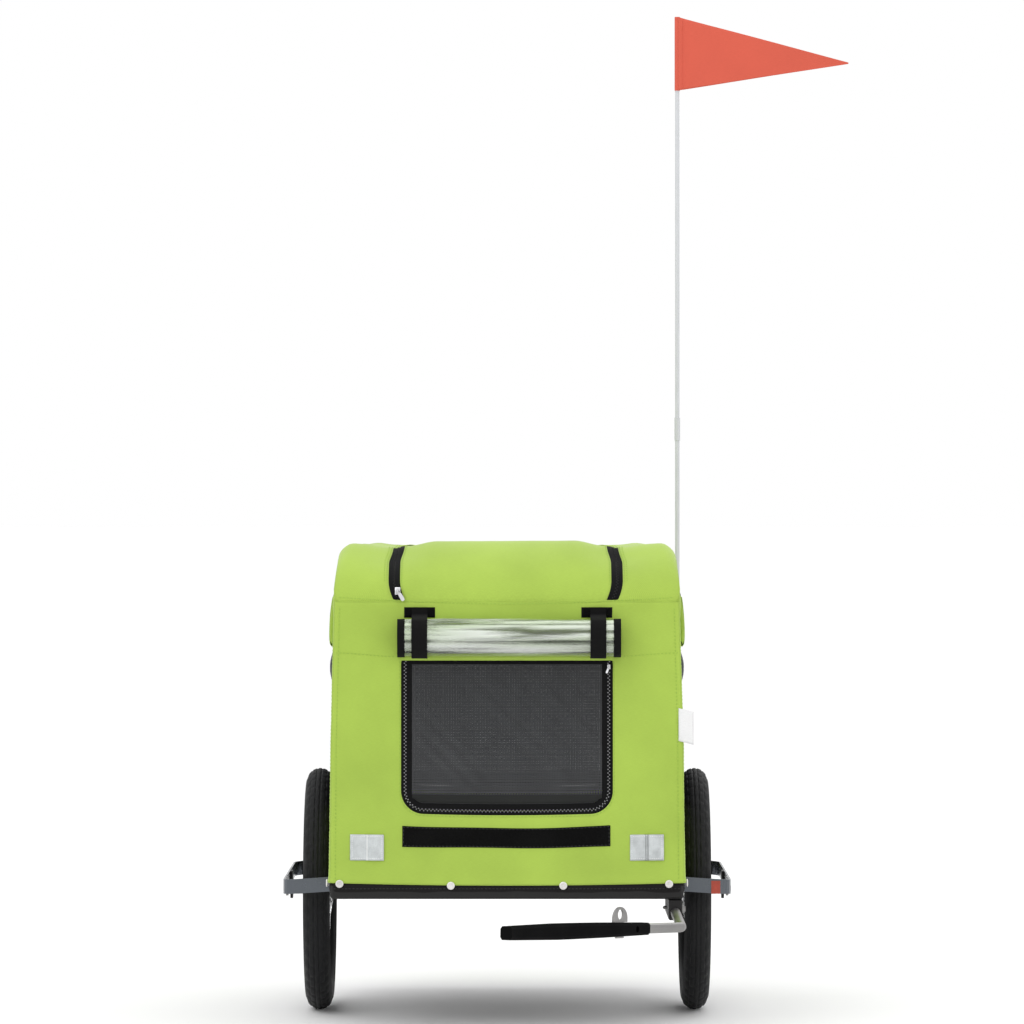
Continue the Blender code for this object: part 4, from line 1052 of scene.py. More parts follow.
def door(mats, name, skin, size, nodes):
    """Net door with its zip, edge binding and lower band."""
    half, low, high, corner = size

    def path_at(inwards):
        return turned_path(half, high, low, corner, inwards)

    zip_nodes = ("front_zip",) if name == "front_door" else ()
    zip_pair(mats, name, skin, path_at, TAPE / 2, TAPE + 0.004, name, zip_nodes, -0.0012, "coil")
    edge = TAPE + 0.0005
    inside = (-half + edge, half - edge, low + edge, high, corner - edge, 0.0005)
    us, vs = lines(inside[0], inside[1], CELL), lines(inside[2], inside[3], CELL)

    def slack(u, v):
        across = 1 - (u / half) ** 2
        up = 1 - ((v - (low + high) / 2) / (high - low) * 2) ** 2
        return -0.0016 - 0.0022 * max(0.0, across) * max(0.0, up)

    net = mats["net" if skin is FRONT else "rear_net"]
    leaf = panel(
        f"{name}_net", skin, us, vs, net, name, "mesh_fabric", nodes, inside=inside, lift=slack,
        thick=0.0004,
    )
    hem_in = 0.004
    band = (
        inside[0] + hem_in, inside[1] - hem_in, inside[2] + hem_in, inside[2] + 0.0165,
        corner - edge - hem_in, 0.0005,
    )
    us, vs = lines(band[0], band[1], CELL), lines(band[2], band[3], CELL * 0.7)
    panel(
        f"{name}_band", skin, us, vs, mats["lining"], name, "mesh_fabric", inside=band,
        lift=lambda u, v: slack(u, v) + 0.0009, thick=0.0006,
    )
    made = Build()
    found = skin.row([(u, high - 0.003) for u in even(inside[0], inside[1])], -0.0006)
    made.ribbon(*found, box_profile((-0.003, -0.0008), (0.003, 0.0)))
    made.piece(f"{name}_head_tape", mats["webbing"], name, "black_webbing")


def between_spots(one, two, steps):
    """Spots from one up to two, without two."""
    (u0, v0), (u1, v1) = one, two
    return [(u0 + (u1 - u0) * k / steps, v0 + (v1 - v0) * k / steps) for k in range(steps)]


def hatch_zip(mats):
    """The hatch's zip, with closer spots where the roof turns down at the front."""

    def path_at(inwards):
        made = turned_path(HATCH_HALF, HATCH_FRONT, HATCH_REAR, HATCH_CORNER, inwards)
        dense = []
        for one, two in zip(made, made[1:]):
            dense += between_spots(one, two, 5 if min(one[1], two[1]) < -0.395 else 1)
        return [*dense, made[-1]]

    zip_pair(
        mats, "hatch_zip", ROOF, path_at, 0.0088, 0.0190, "roof_hatch", ("hatch_zip",), -0.0010,
        "dark_coil",
    )


def side_window(mats, name):
    """Net window with a black binding round it."""
    skin = SIDES[name]
    hole = window_hole(-0.001)
    us, vs = lines(hole[0], hole[1], CELL), lines(hole[2], hole[3], CELL)

    def bulge(u, v):
        top = math.exp(-((v - 0.325) / 0.034) ** 2) * (1 - (abs(u) / 0.262) ** 16)
        return -0.0014 + 0.0115 * max(0.0, top)

    net = panel(
        f"window_{name}_net", skin, us, vs, mats["rear_net"], "chassis", "mesh_fabric",
        (f"side_window_{name}",), inside=hole, lift=bulge, thick=0.0004,
    )
    made = Build()
    profile = box_profile((-0.0065, -0.0006), (0.0065, 0.0006))
    made.ribbon(*skin.row(window_path(0.001), 0.0004), profile, closed=True)
    made.piece(f"window_{name}_binding", mats["webbing"], "chassis", "black_webbing")


def window_path(grow):
    """Spots round the window, outside its edge by grow."""
    u0, u1, v0, v1, r, _ = window_hole(grow)
    corners = (
        (u0 + r, v0 + r, 180), (u1 - r, v0 + r, 270), (u1 - r, v1 - r, 0), (u0 + r, v1 - r, 90),
    )
    spots = []
    for cu, cv, start in corners:
        for k in range(10):
            angle = math.radians(start + 90 * k / 9)
            spots.append((cu + r * math.cos(angle), cv + r * math.sin(angle)))
    dense = []
    for one, two in zip(spots, spots[1:] + spots[:1]):
        steps = max(1, round(math.dist(one, two) / 0.008))
        dense += between_spots(one, two, steps)
    return dense


FLAP_HALF = 0.2670
FLAP_PATH = (
    (0.0012, 0.4520), (0.0025, 0.4380), (0.0030, 0.4100), (0.0028, 0.3820), (0.0032, 0.3660),
    (0.0062, 0.3590), (0.0092, 0.3640), (0.0108, 0.3790), (0.0104, 0.4000), (0.0088, 0.4220),
    (0.0068, 0.4400), (0.0052, 0.4380), (0.0048, 0.4220), (0.0054, 0.4000), (0.0058, 0.3780),
)
FLAP_END = (
    (0.0010, 0.4500), (0.0028, 0.4250), (0.0030, 0.3950), (0.0034, 0.3690), (0.0064, 0.3615),
    (0.0091, 0.3670), (0.0106, 0.3800), (0.0102, 0.4000), (0.0086, 0.4220), (0.0066, 0.4390),
    (0.0036, 0.4500),
)
FLAP_END_RINGS = ((-0.014, 0.94), (0.0, 0.98), (0.0022, 0.80), (0.0030, 0.45))
FLAP_MIDDLE = (0.006, 0.407)
FLAP_TIES = (-0.150, 0.150)
TIE_PATH = (
    (0.0008, 0.4575), (0.0050, 0.4520), (0.0094, 0.4400), (0.0100, 0.4200), (0.0102, 0.3980),
    (0.0096, 0.3760), (0.0078, 0.3640), (0.0040, 0.3575), (0.0012, 0.3560),
)


def side_flap(mats, name, side):
    """The window's cover, rolled up flat above it and held by two ties."""
    flap_cloth(mats, name, side)
    flap_ends(mats, name, side)
    for k, tie in enumerate(FLAP_TIES):
        made = Build()
        points = smooth_line([(side * (side_x(z) + d), tie, z) for d, z in TIE_PATH], 5)
        normals = [Vector((0, 1, 0)).cross(way) * side for way in directions(points)]
        made.ribbon(points, normals, box_profile((-0.0065, -0.0004), (0.0065, 0.0006)))
        made.piece(f"flap_tie_{name}_{k + 1}", mats["webbing"], "chassis", "black_webbing")


def flap_cloth(mats, name, side):
    path = resample(smooth_line([(d, z, 0) for d, z in FLAP_PATH]), 0.0045)
    made = Build()
    rows = []
    for y in lines(-FLAP_HALF, FLAP_HALF, 0.006):
        tie = sum(math.exp(-((y - t) / 0.022) ** 2) for t in FLAP_TIES)
        row, walked = [], 0.0
        for k, p in enumerate(path):
            walked += (p - path[k - 1]).length if k else 0.0
            d, z = p.x, p.y
            loose = ease(walked, 0.012, 0.05)
            wave = noise.noise(Vector((y * 9, z * 16, walked * 7 + side))) * 0.0016
            wave += noise.noise(Vector((y * 30, z * 26, walked * 11 + 2 * side))) * 0.0006
            drop = noise.noise(Vector((y * 5, side * 2.0, walked * 3))) * 0.0020
            pressed = 0.34 * tie * max(0.0, d - 0.003)
            d += loose * (wave * (0.4 + 0.6 * min(1.0, d / 0.010)) - pressed)
            z += loose * (drop - 0.07 * tie * (z - 0.405))
            row.append(made.vert((side * (side_x(z) + max(0.0008, d)), y, z), y, walked))
        rows.append(row)
    made.sheet(rows, flip=side < 0)
    ob = made.piece(
        f"flap_{name}", mats["green"], "chassis", "green_fabric", (f"side_flap_{name}",), 180, False,
    )
    thicken(ob, 0.0010, 0.0)
    length_of(path)


def flap_ends(mats, name, side):
    """The rolled layers at both ends of a flap."""
    out_middle, z_middle = FLAP_MIDDLE
    made = Build()
    for end in (1, -1):
        rings = []
        for out, size in FLAP_END_RINGS:
            ring = []
            for d, z in FLAP_END:
                x = side_x(z) + out_middle + (d - out_middle) * size
                place = (side * x, end * (FLAP_HALF + out), z_middle + (z - z_middle) * size)
                ring.append(made.vert(place, d, z))
            rings.append(ring)
        made.loft(rings)
    made.piece(f"flap_ends_{name}", mats["green"], "chassis", "green_fabric", smooth=60)


def seams(mats):
    """Welts along the roof's edges and the cabin's upright corners."""
    made = Build()
    for side in (1, -1):
        spots = [(side * (RIM_START + RIM_TURN), v) for v in roof_rows()]
        made.tube(ROOF.row(spots, -0.0004)[0], 0.0011, 6)
    for skin in (FRONT, REAR):
        for side in (1, -1):
            u = side * (FLAT_HALF + CORNER * math.pi / 4)
            spots = [(u, v) for v in even(COVER_LOW, SEAM_Z, 0.008)]
            made.tube(skin.row(spots, -0.0004)[0], 0.0009, 6, up=(1, 0, 0))
            inner = skin.at(u, SEAM_Z, -0.0036)[0]
            made.tube([inner - 0.006 * UP, inner + 0.007 * UP], 0.0034, 8)
        spots = [(u, SEAM_Z) for u in even(-FLAT_HALF, FLAT_HALF, 0.008)]
        made.tube(skin.row(spots, -0.0006)[0], 0.0009, 6)
    made.piece("cabin_welts", mats["green"], "chassis", "green_fabric", smooth=60)


def end_spot(skin, side, u, z):
    """Spot on the front or rear at a height, which may be above the seam."""
    return skin.at(u, z) if z <= SEAM_Z else ROOF.at(u, roof_y(z, side))


def seam_height(u):
    """Height of the thread above the front seam, which rises towards the corners."""
    return 0.4305 + 0.0095 * min(1.0, (abs(u) / 0.25) ** 2)


def sew(made, found, **more):
    """A row of stitches through a list of (point, normal)."""
    made.stitches([p for p, _ in found], [n for _, n in found], **more)


def stitching(mats):
    """Every visible row of thread on the cabin."""
    heights = even(-0.008, 0.425, 0.006)
    made = Build()
    for skin, end, door_size in ((FRONT, -1, DOOR), (REAR, 1, REAR_DOOR)):
        half, low, high, corner = door_size
        sew(made, [end_spot(skin, end, u, seam_height(u)) for u in even(-0.262, 0.262, 0.006)])
        if skin is FRONT:
            for side in (1, -1):
                spots = [(u, SEWN_Z + 0.006 * ease(u, 0.17, 0.27)) for u in even(0.1715, 0.274, 0.006)]
                sew(made, [skin.at(side * u, v) for u, v in spots])
        for side in (1, -1):
            sew(made, [skin.at(side * (FLAT_HALF - 0.0025), v) for v in heights])
        sew(made, [skin.at(u, v) for u, v in turned_path(half, high, low, corner, -0.0022)])
    for skin in SIDES.values():
        for side in (1, -1):
            corner = side * (HALF_LENGTH - CORNER - 0.003)
            sew(made, [skin.at(corner, v) for v in heights], radius=0.00028)
        sew(made, [skin.at(u, TOP_V - 0.005) for u in even(-0.33, 0.33, 0.006)])
        sew(made, [skin.at(u, 0.4560) for u in even(-0.27, 0.27, 0.006)])
    for side in (1, -1):
        for out in (0.0022, 0.0065):
            along = [v for v in roof_rows() if -0.41 < v < 0.29]
            sew(made, [ROOF.at(side * (HATCH_HALF + out), v) for v in along])
    made.piece("cabin_stitching", mats["green_thread"], "chassis", "green_fabric", smooth=60)
    made = Build()
    for skin in SIDES.values():
        for grow in (-0.0035, 0.0055):
            sew(made, [skin.at(u, v, 0.0011) for u, v in window_path(grow)])
    (u0, v0), (u1, v1) = HOOK_STRIP
    edge = rectangle(u0 + 0.002, u1 - 0.002, v0 + 0.002, v1 - 0.002)
    sew(made, [FRONT.at(u, v - strip_sag(u), 0.0019) for u, v in edge])
    made.piece("trim_stitching", mats["black_thread"], "chassis", "black_webbing", smooth=60)
    made = Build()
    for side in (1, -1):
        along = [v for v in roof_rows() if -0.41 < v < 0.27]
        sew(made, [ROOF.at(side * (HATCH_LEAF - 0.0022), v) for v in along])
    sew(made, [ROOF.at(u, HATCH_REAR - 0.0215) for u in even(-0.148, 0.148)])
    made.piece("hatch_stitching", mats["green_thread"], "roof_hatch", "green_fabric", smooth=60)


# ---- trim on the cabin ----------------------------------------------------------------


HOOK_STRIP = ((-0.166, 0.0455), (0.164, 0.0790))
REFLECTOR_X = 0.2205
REFLECTOR_HALF = 0.0253
REFLECTOR_Z = (0.0235, 0.0645)


def strip_sag(u):
    """How far the strip hangs below a straight line."""
    return 0.0022 * max(0.0, 1 - (u / 0.166) ** 2) + 0.0006 * math.sin(u * 31)


def sewn_patch(name, skin, us, vs, mat, nodes=(), rise=0.0009, reach=0.0018, thick=0.0009):
    """A patch of hook-and-loop whose edges are sewn down."""

    def lift(u, v):
        return 0.0006 + rise * ease(inset(u, v, us, vs), 0.0, reach)

    panel(name, skin, us, vs, mat, "chassis", "black_webbing", nodes, lift=lift, thick=thick)


def hook_strip(mats):
    (u0, v0), (u1, v1) = HOOK_STRIP
    skin = Skin(lambda u, v: FRONT.place(u, v - strip_sag(u)), (0.1, 0.06), (0, -1, 0), FRONT.relief)
    us, vs = lines(u0, u1, CELL), lines(v0, v1, 0.004)
    nodes = ("hook_loop_strip",)
    sewn_patch("hook_strip", skin, us, vs, mats["pile"], nodes, 0.0011, 0.0022, 0.0010)


def reflector(mats, end, way, skin, side, name, thread):
    """A silver patch, folded down its middle and sewn on."""
    x = side * REFLECTOR_X
    folds = (x - 0.0020, x - 0.0008, x + 0.0006, x + 0.0018)
    us = lines(x - REFLECTOR_HALF, x + REFLECTOR_HALF, 0.0030, folds)
    vs = lines(*REFLECTOR_Z, 0.0035)
    tilt = 0.010 * side

    def lift(u, v):
        fold = 0.0020 * math.exp(-((u - x + 0.0006) / 0.0012) ** 2)
        step = 0.0012 * ease(u, x, x + 0.001)
        lip = 0.0006 * math.exp(-(inset(u, v, us, vs) / 0.0016) ** 2)
        wave = noise.noise(Vector((u * 60, v * 60, 5.0))) * 0.0004
        return 0.0011 + fold + step + lip + wave

    patch = Skin(lambda u, v: skin.place(u, v + tilt * (u - x)), (x, 0.05), (0, way, 0))
    panel(
        f"{end}_reflector_patch_{name}", patch, us, vs, mats["reflective"], "chassis", "reflective",
        (f"front_reflector_{name}",) if end == "front" else (), lift=lift, thick=0.0007,
    )
    # Painted shade and highlight along the fold: the two dark lines on the left patches are painted
    # shade, and the white line on the right patches is a painted highlight.
    seam = Build()
    for u in (x - 0.0014, x + 0.0016) if side > 0 else (x,):
        heights = even(vs[0], vs[-1], 0.004)
        seam.tube([patch.at(u, v, lift(u, v) + 0.0003)[0] for v in heights], 0.00045, 5)
    line = mats["black_thread" if side > 0 else "white_thread"]
    seam.piece(f"{end}_reflector_fold_{name}", line, "chassis", "reflective", smooth=60)
    edge = rectangle(us[0] + 0.003, us[-1] - 0.003, vs[0] + 0.003, vs[-1] - 0.003)
    found = [patch.at(u, v, lift(u, v)) for u, v in edge]
    sew(thread, found, pitch=0.0034, length=0.0022, radius=0.00022)


def reflectors(mats):
    thread = Build()
    for end, way, skin in (("front", -1, FRONT), ("rear", 1, REAR)):
        for side, name in ((1, "left"), (-1, "right")):
            reflector(mats, end, way, skin, side, name, thread)
    thread.piece("reflector_stitching", mats["white_thread"], "chassis", "reflective", smooth=60)


STUD_CAP = (
    (-0.0020, 0.0040), (0.0004, 0.0052), (0.0010, 0.0061), (0.0018, 0.0063), (0.0026, 0.0058),
    (0.0030, 0.0047), (0.0028, 0.0036), (0.0021, 0.0026), (0.0020, 0.0012), (0.0024, 0.0006),
)


def studs(mats):
    """White press studs along the cover's lower edge, each with a dished cap."""
    made = Build()
    for skin, spots, half in (
        (FRONT, STUD_X, 0.28), (REAR, STUD_X, 0.28),
        (SIDES["left"], STUD_Y, 0.42), (SIDES["right"], STUD_Y, 0.42),
    ):
        for u in spots:
            sag = lower_sag(u / half)
            point, normal = skin.at(u, max(STUD_Z + sag * 0.6, COVER_LOW + 0.001))
            point.z = STUD_Z - 0.9 * sag
            made.turned(STUD_CAP, point, normal, 20)
    made.piece("press_studs", mats["stud"], "chassis", smooth=40)


TAG_Z = (0.2130, 0.2650)
TAG_X = 0.2722
TAG_WIDTH = 0.0235


def side_tag(mats):
    """Blank white label sewn into the front left seam."""
    made = Build()
    rows = []
    for v in lines(*TAG_Z, 0.004):
        t = (v - TAG_Z[0]) / (TAG_Z[1] - TAG_Z[0])
        row = []
        for k in range(9):
            share = k / 8
            x = TAG_X + TAG_WIDTH * share
            z = v - 0.0060 * share
            wave = 0.0022 * math.sin(share * 2.4) + 0.0008 * math.sin(t * 5 + share)
            row.append(made.vert((x, -HALF_LENGTH - 0.0016 - wave, z), x, z))
        rows.append(row)
    made.sheet(rows)
    ob = made.piece("side_tag", mats["label"], "chassis", smooth=180, solid=False)
    thicken(ob, 0.0007, 0.0)


ROLL_HALF = 0.177
ROLL_SHIFT = 0.0035
ROLL_CENTRE = (-0.4412, 0.3775)
ROLL_SIZE = (0.0190, 0.0305)
ROLL_TURNS = 2.25
STRAP_X = {"right": -0.1385, "left": 0.1445}
STRAP_PATCH = {"right": (-0.1630, -0.1140), "left": (0.1180, 0.1670)}


def roll_spot(turn, grow=0.0):
    """(y, z) on the roll's spiral; turn counts from its lowest point, outwards and up."""
    size = 1 - 0.085 * max(0.0, turn)
    angle = 2 * math.pi * turn
    y = ROLL_CENTRE[0] - (ROLL_SIZE[0] * size + grow) * math.sin(angle)
    return y, ROLL_CENTRE[1] - (ROLL_SIZE[1] * size + grow) * math.cos(angle)


def roll_part(line, low, high):
    """Mesh of the rolled sheet from low to high across it; line holds (y, z) along it."""
    made = Build()
    rows = []
    for x in lines(low, high, 0.0028):
        tight = sum(math.exp(-((x - s) / 0.020) ** 2) for s in STRAP_X.values())
        sag = 0.0018 * math.sin((x + ROLL_HALF) * 8.6)
        row, walked = [], 0.0
        for k, (y, z) in enumerate(line):
            walked += math.dist(line[k], line[k - 1]) if k else 0.0
            out = Vector((0, (y - ROLL_CENTRE[0]) / ROLL_SIZE[0], (z - ROLL_CENTRE[1]) / ROLL_SIZE[1]))
            loose = ease(walked, 0.01, 0.03)
            wave = noise.noise(Vector((x * 5.5, walked * 42, 1.0))) * 0.0014
            wave += noise.noise(Vector((x * 14, walked * 95, 6.0))) * 0.0006
            rise = loose * (wave * (1 - 0.75 * min(1.0, tight)) - 0.0010 * tight)
            spot = Vector((x + ROLL_SHIFT, y, z + sag * loose * 0.5)) + out.normalized() * rise
            row.append(made.vert(spot, x, walked))
        rows.append(row)
    made.sheet(rows)
    return made


def rain_roll(mats):
    """Clear rain cover, sewn on above the door, rolled up, with a black binding at both ends."""
    line = [(-0.4213, SEWN_Z - 0.0005), (-0.4260, 0.3466), (-0.4330, 0.3466)]
    line += [roll_spot(k / 44) for k in range(round(ROLL_TURNS * 44) + 1)]
    film = roll_part(line, -0.166, 0.166).piece(
        "rain_cover_film", mats["film"], "chassis", "clear_sheet", ("rain_cover",), 180, False,
    )
    thicken(film, 0.0003, 0.0)
    length = sum(math.dist(a, b) for a, b in zip(line, line[1:]))
    for side, low, high in (("right", -ROLL_HALF, -0.1655), ("left", 0.1655, ROLL_HALF)):
        binding = roll_part(line, low, high).piece(
            f"rain_cover_binding_{side}", mats["webbing"], "chassis", "black_webbing", (), 180, False,
        )
        thicken(binding, 0.0011, 0.0)


def roll_straps(mats):
    """Two webbing straps round the roll, each on a sewn patch of hook-and-loop."""
    face = -HALF_LENGTH - 0.0020
    loop = [(face - 0.0014, 0.4245), (face - 0.0018, 0.4180), (face - 0.0050, 0.4120)]
    loop += [roll_spot(t, 0.0016) for t in (0.44, 0.38, 0.32, 0.25, 0.18, 0.12, 0.06, 0.015)]
    loop += [(-0.4330, 0.3446), (-0.4226, 0.3448), (face + 0.0004, 0.3458)]
    for name, x in STRAP_X.items():
        points = smooth_line([(x, y, z) for y, z in loop], 5)
        normals = [Vector((-1, 0, 0)).cross(way) for way in directions(points)]
        made = Build()
        made.ribbon(points, normals, box_profile((-0.0125, -0.0007), (0.0125, 0.0007)))
        nodes = (f"roll_strap_{name}",)
        made.piece(f"roll_strap_loop_{name}", mats["webbing"], "chassis", "black_webbing", nodes)
        us, vs = lines(*STRAP_PATCH[name], 0.004), lines(0.4085, 0.4250, 0.003)
        sewn_patch(f"roll_strap_patch_{name}", FRONT, us, vs, mats["pile"])


# Bridge of a slider: (along, up). Pull tab: (along, half width).
SLIDER_ARCH = (
    (-0.0040, 0.0034), (-0.0034, 0.0052), (-0.0010, 0.0062), (0.0016, 0.0058), (0.0032, 0.0036),
)
PULL_TAB = (
    (0.0052, 0.0016), (0.0066, 0.0026), (0.0090, 0.0029), (0.0150, 0.0031), (0.0185, 0.0027),
    (0.0196, 0.0014),
)


def zip_slider(mats, name, body, size, tab_way, base, up):
    """Metal zip slider with a ring and a pull tab; size scales it all."""
    along = (UP - up * up.z).normalized()
    across = along.cross(up).normalized()
    axes = (across, along, up)
    made = Build()
    for rise in (0.0010, 0.0030):
        made.block(base + up * rise * size, axes, Vector((0.0042, 0.0062, 0.0007)) * size, 0.3)
    post = base + up * 0.002 * size + along * 0.0048 * size
    made.block(post, axes, Vector((0.0016, 0.0012, 0.0012)) * size)
    arch = [base + along * a * size + up * h * size for a, h in SLIDER_ARCH]
    made.tube(smooth_line(arch, 3), 0.0007 * size, 6, up=across)
    way = Vector(tab_way)
    way = (way - up * way.dot(up)).normalized()
    side = way.cross(up).normalized()
    start = base + up * 0.0052 * size
    ring = [start + way * (0.003 + a) * size + side * b * size for a, b in circle(0.0028, 16)]
    made.tube(ring, 0.0006 * size, 6, closed=True, up=up)
    rings = []
    for far, half in PULL_TAB:
        at = start + way * far * size - up * 0.10 * (far - 0.005) * size
        rings.append([
            made.vert(at + side * a * half * size + up * h * size)
            for a, h in ((-1, -0.0005), (1, -0.0005), (1, 0.0005), (-1, 0.0005))
        ])
    made.loft(rings)
    made.piece(name, mats["bright"], body, "zinc", (body,), 30)


def zip_sliders(mats):
    low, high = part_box("front_zip_slider")
    base = Vector(((low.x + high.x) / 2, low.y + 0.0038, (low.z + high.z) / 2))
    up = FRONT.normal(0.1615, 0.3315)
    zip_slider(mats, "front_zip_pull", "front_zip_slider", 0.55, (-0.35, 0.0, -0.94), base, up)
    base, up = ROOF.at(-0.1745, roof_y(0.4490), 0.0006)
    zip_slider(mats, "hatch_zip_pull", "hatch_zip_slider", 1.0, (0.45, 0.0, -0.89), base, up)


# ---- base -----------------------------------------------------------------------------


SKIRT_HALF = (0.2812, HALF_LENGTH)
SKIRT_CORNER = 0.010
SKIRT_STEP = 0.007
# The skirt from its top edge down and under the base bars: (outwards, z).
SKIRT_PROFILE = (
    (-0.0018, -0.0075), (-0.0014, -0.0115), (0.0004, -0.0160), (0.0003, -0.0240),
    (-0.0012, -0.0295), (-0.0042, -0.0345), (-0.0085, -0.0374), (-0.0140, -0.0382),
    (-0.0240, -0.0383),
)
SKIRT_STITCHES = (0.0012, -0.0215)


def round_base():
    """(corner centre, outward direction) at even steps round the base."""
    x, y = SKIRT_HALF[0] - SKIRT_CORNER, SKIRT_HALF[1] - SKIRT_CORNER
    spots = []
    for cx, cy, start in ((x, y, 0), (-x, y, 90), (-x, -y, 180), (x, -y, 270)):
        for k in range(9):
            angle = math.radians(start + 90 * k / 8)
            spots.append((Vector((cx, cy, 0)), Vector((math.cos(angle), math.sin(angle), 0))))
    dense = []
    for (c0, n0), (c1, n1) in zip(spots, spots[1:] + spots[:1]):
        gap = ((c1 + n1 * SKIRT_CORNER) - (c0 + n0 * SKIRT_CORNER)).length
        steps = max(1, round(gap / SKIRT_STEP))
        shares = [k / steps for k in range(steps)]
        dense += [(c0.lerp(c1, t), n0.lerp(n1, t).normalized()) for t in shares]
    return dense


def base_skirt(mats):
    """Black cloth skirt that the cover is pressed onto; it wraps under the base bars."""
    spots = round_base()
    made = Build()
    rows = []
    for i, (centre, normal) in enumerate(spots):
        row, down = [], 0.0
        for k, (out, z) in enumerate(SKIRT_PROFILE):
            before = SKIRT_PROFILE[max(0, k - 1)]
            down += abs(z - before[1]) + abs(out - before[0])
            point = centre + normal * (SKIRT_CORNER + out) + UP * z
            if 1 < k < 7:
                wave = noise.noise(point * 26) * 0.0006 + noise.noise(point * 90) * 0.00015
                point += normal * wave
            row.append(made.vert(point, SKIRT_STEP * (i + 1), down))
        rows.append(row)
    made.sheet(rows, closed=True)
    ob = made.piece(
        "base_skirt", mats["base_cloth"], "chassis", "black_webbing", smooth=180, solid=False,
    )
    thicken(ob, 0.0008, 0.0)
    out, z = SKIRT_STITCHES
    made = Build()
    sew(made, [(c + n * (SKIRT_CORNER + out) + UP * z, n) for c, n in spots + spots[:1]])
    made.piece("skirt_stitching", mats["black_thread"], "chassis", smooth=60)


# Turned profiles, (along the axis, radius): each washer and the bolt's head on it.
GUARD_BOLT = (
    ((-0.0008, 0.0064), (0.0004, 0.0064), (0.0006, 0.0060)),
    ((0.0004, 0.0048), (0.0034, 0.0048), (0.0042, 0.0040)),
)
RECEIVER_BOLT = (
    ((-0.0006, 0.0070), (0.0016, 0.0066), (0.0018, 0.0058)),
    ((0.0016, 0.0050), (0.0046, 0.0050), (0.0052, 0.0042)),
)
RIVET = ((-0.0010, 0.0042), (0.0008, 0.0040), (0.0016, 0.0024), (0.0018, 0.0008))


def bolt(made, shape, at, axis):
    washer, head = shape
    made.turned(washer, at, axis, 24)
    made.turned(head, at, axis, 6)


def hardware(mats):
    """Bolts of the wheel guards and the drawbar's receiver, rivets, and the lock pin's ring."""
    made = Build()
    for side in (1, -1):
        for y in (-0.262, 0.262):
            bolt(made, GUARD_BOLT, (side * 0.2815, y, -0.0264), (side, 0, 0))
        for y in (-0.010, 0.010):
            at = (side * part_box("wheel_guard_left")[1].x, y, -0.0320)
            made.turned(RIVET, at, (side, 0, 0), 20)
    made.piece("guard_bolts", mats["zinc"], "chassis", "zinc", smooth=30)
    made = Build()
    low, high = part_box("drawbar_receiver")
    for y in (low.y + 0.018, high.y - 0.018):
        bolt(made, RECEIVER_BOLT, (high.x, y, (low.z + high.z) / 2), (1, 0, 0))
    made.piece("receiver_bolts", mats["zinc"], "chassis", "zinc", smooth=30)
    low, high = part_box("drawbar_lock_pin")
    middle = (low + high) / 2 - UP * 0.0105
    made = Build()
    ring = [(high.x - 0.0022, middle.y + b, middle.z - a) for a, b in circle(0.0085, 28)]
    made.tube(ring, 0.0008, 8, closed=True, up=(1, 0, 0))
    made.piece("lock_pin_ring", mats["bright"], "drawbar_lock_pin", "zinc", smooth=60)


def inflate(ob, held, pressure, cap, frames=20):
    """Swells a closed mesh as cloth; held vertices stay put and none moves further than cap."""
    scene = bpy.context.scene
    start = [v.co.copy() for v in ob.data.vertices]
    group = ob.vertex_groups.new(name="held")
    group.add([i for i, v in enumerate(start) if held(v)], 1.0, "REPLACE")
    made = ob.modifiers.new("Swell", "CLOTH")
    settings = made.settings
    settings.vertex_group_mass = group.name
    settings.use_pressure = True
    settings.uniform_pressure_force = pressure
    settings.effector_weights.gravity = 0.0
    settings.quality = 5
    settings.mass = 0.2
    settings.tension_stiffness = settings.compression_stiffness = 18
    settings.bending_stiffness = 0.6
    made.point_cache.frame_start, made.point_cache.frame_end = 1, frames
    for k in range(1, frames + 1):
        scene.frame_set(k)
    found = ob.evaluated_get(bpy.context.evaluated_depsgraph_get()).to_mesh()
    moved = [v.co.copy() for v in found.vertices]
    ob.modifiers.remove(made)
    ob.vertex_groups.remove(group)
    for v, before, after in zip(ob.data.vertices, start, moved):
        shift = after - before
        v.co = before + shift * min(1.0, cap / max(shift.length, 1e-9))
    scene.frame_set(1)


PAD_SEAMS_X = (-0.122, 0.0, 0.122)
PAD_SEAMS_Y = (-0.261, -0.130, 0.0, 0.130, 0.261)


def to_seam(x, y):
    """Distance to the pad's nearest sewn channel."""
    return min(min(abs(x - c) for c in PAD_SEAMS_X), min(abs(y - c) for c in PAD_SEAMS_Y))


def pad_mesh(xs, ys, middle, half):
    """Closed pad, thin at its rim and along its channels on top."""
    made = Build()
    layers = []
    for top in (1, -1):
        grid = {}
        for i, x in enumerate(xs):
            for j, y in enumerate(ys):
                thick = half * ease(inset(x, y, xs, ys), -0.004, 0.012)
                if top > 0:
                    thick *= 0.50 + 0.50 * ease(to_seam(x, y), 0.0, 0.020)
                grid[i, j] = made.vert((x, y, middle + top * thick), x, y)
        layers.append(grid)
    last_i, last_j = len(xs) - 1, len(ys) - 1
    for top, grid in zip((1, -1), layers):
        for i in range(last_i):
            for j in range(last_j):
                face = (grid[i, j], grid[i + 1, j], grid[i + 1, j + 1], grid[i, j + 1])
                made.bm.faces.new(face if top > 0 else tuple(reversed(face)))
    rim = [(i, 0) for i in range(len(xs))] + [(last_i, j) for j in range(1, len(ys))]
    rim += [(i, last_j) for i in range(last_i - 1, -1, -1)] + [(0, j) for j in range(last_j - 1, 0, -1)]
    for a, b in zip(rim, rim[1:] + rim[:1]):
        made.bm.faces.new((layers[0][b], layers[0][a], layers[1][a], layers[1][b]))
    return made


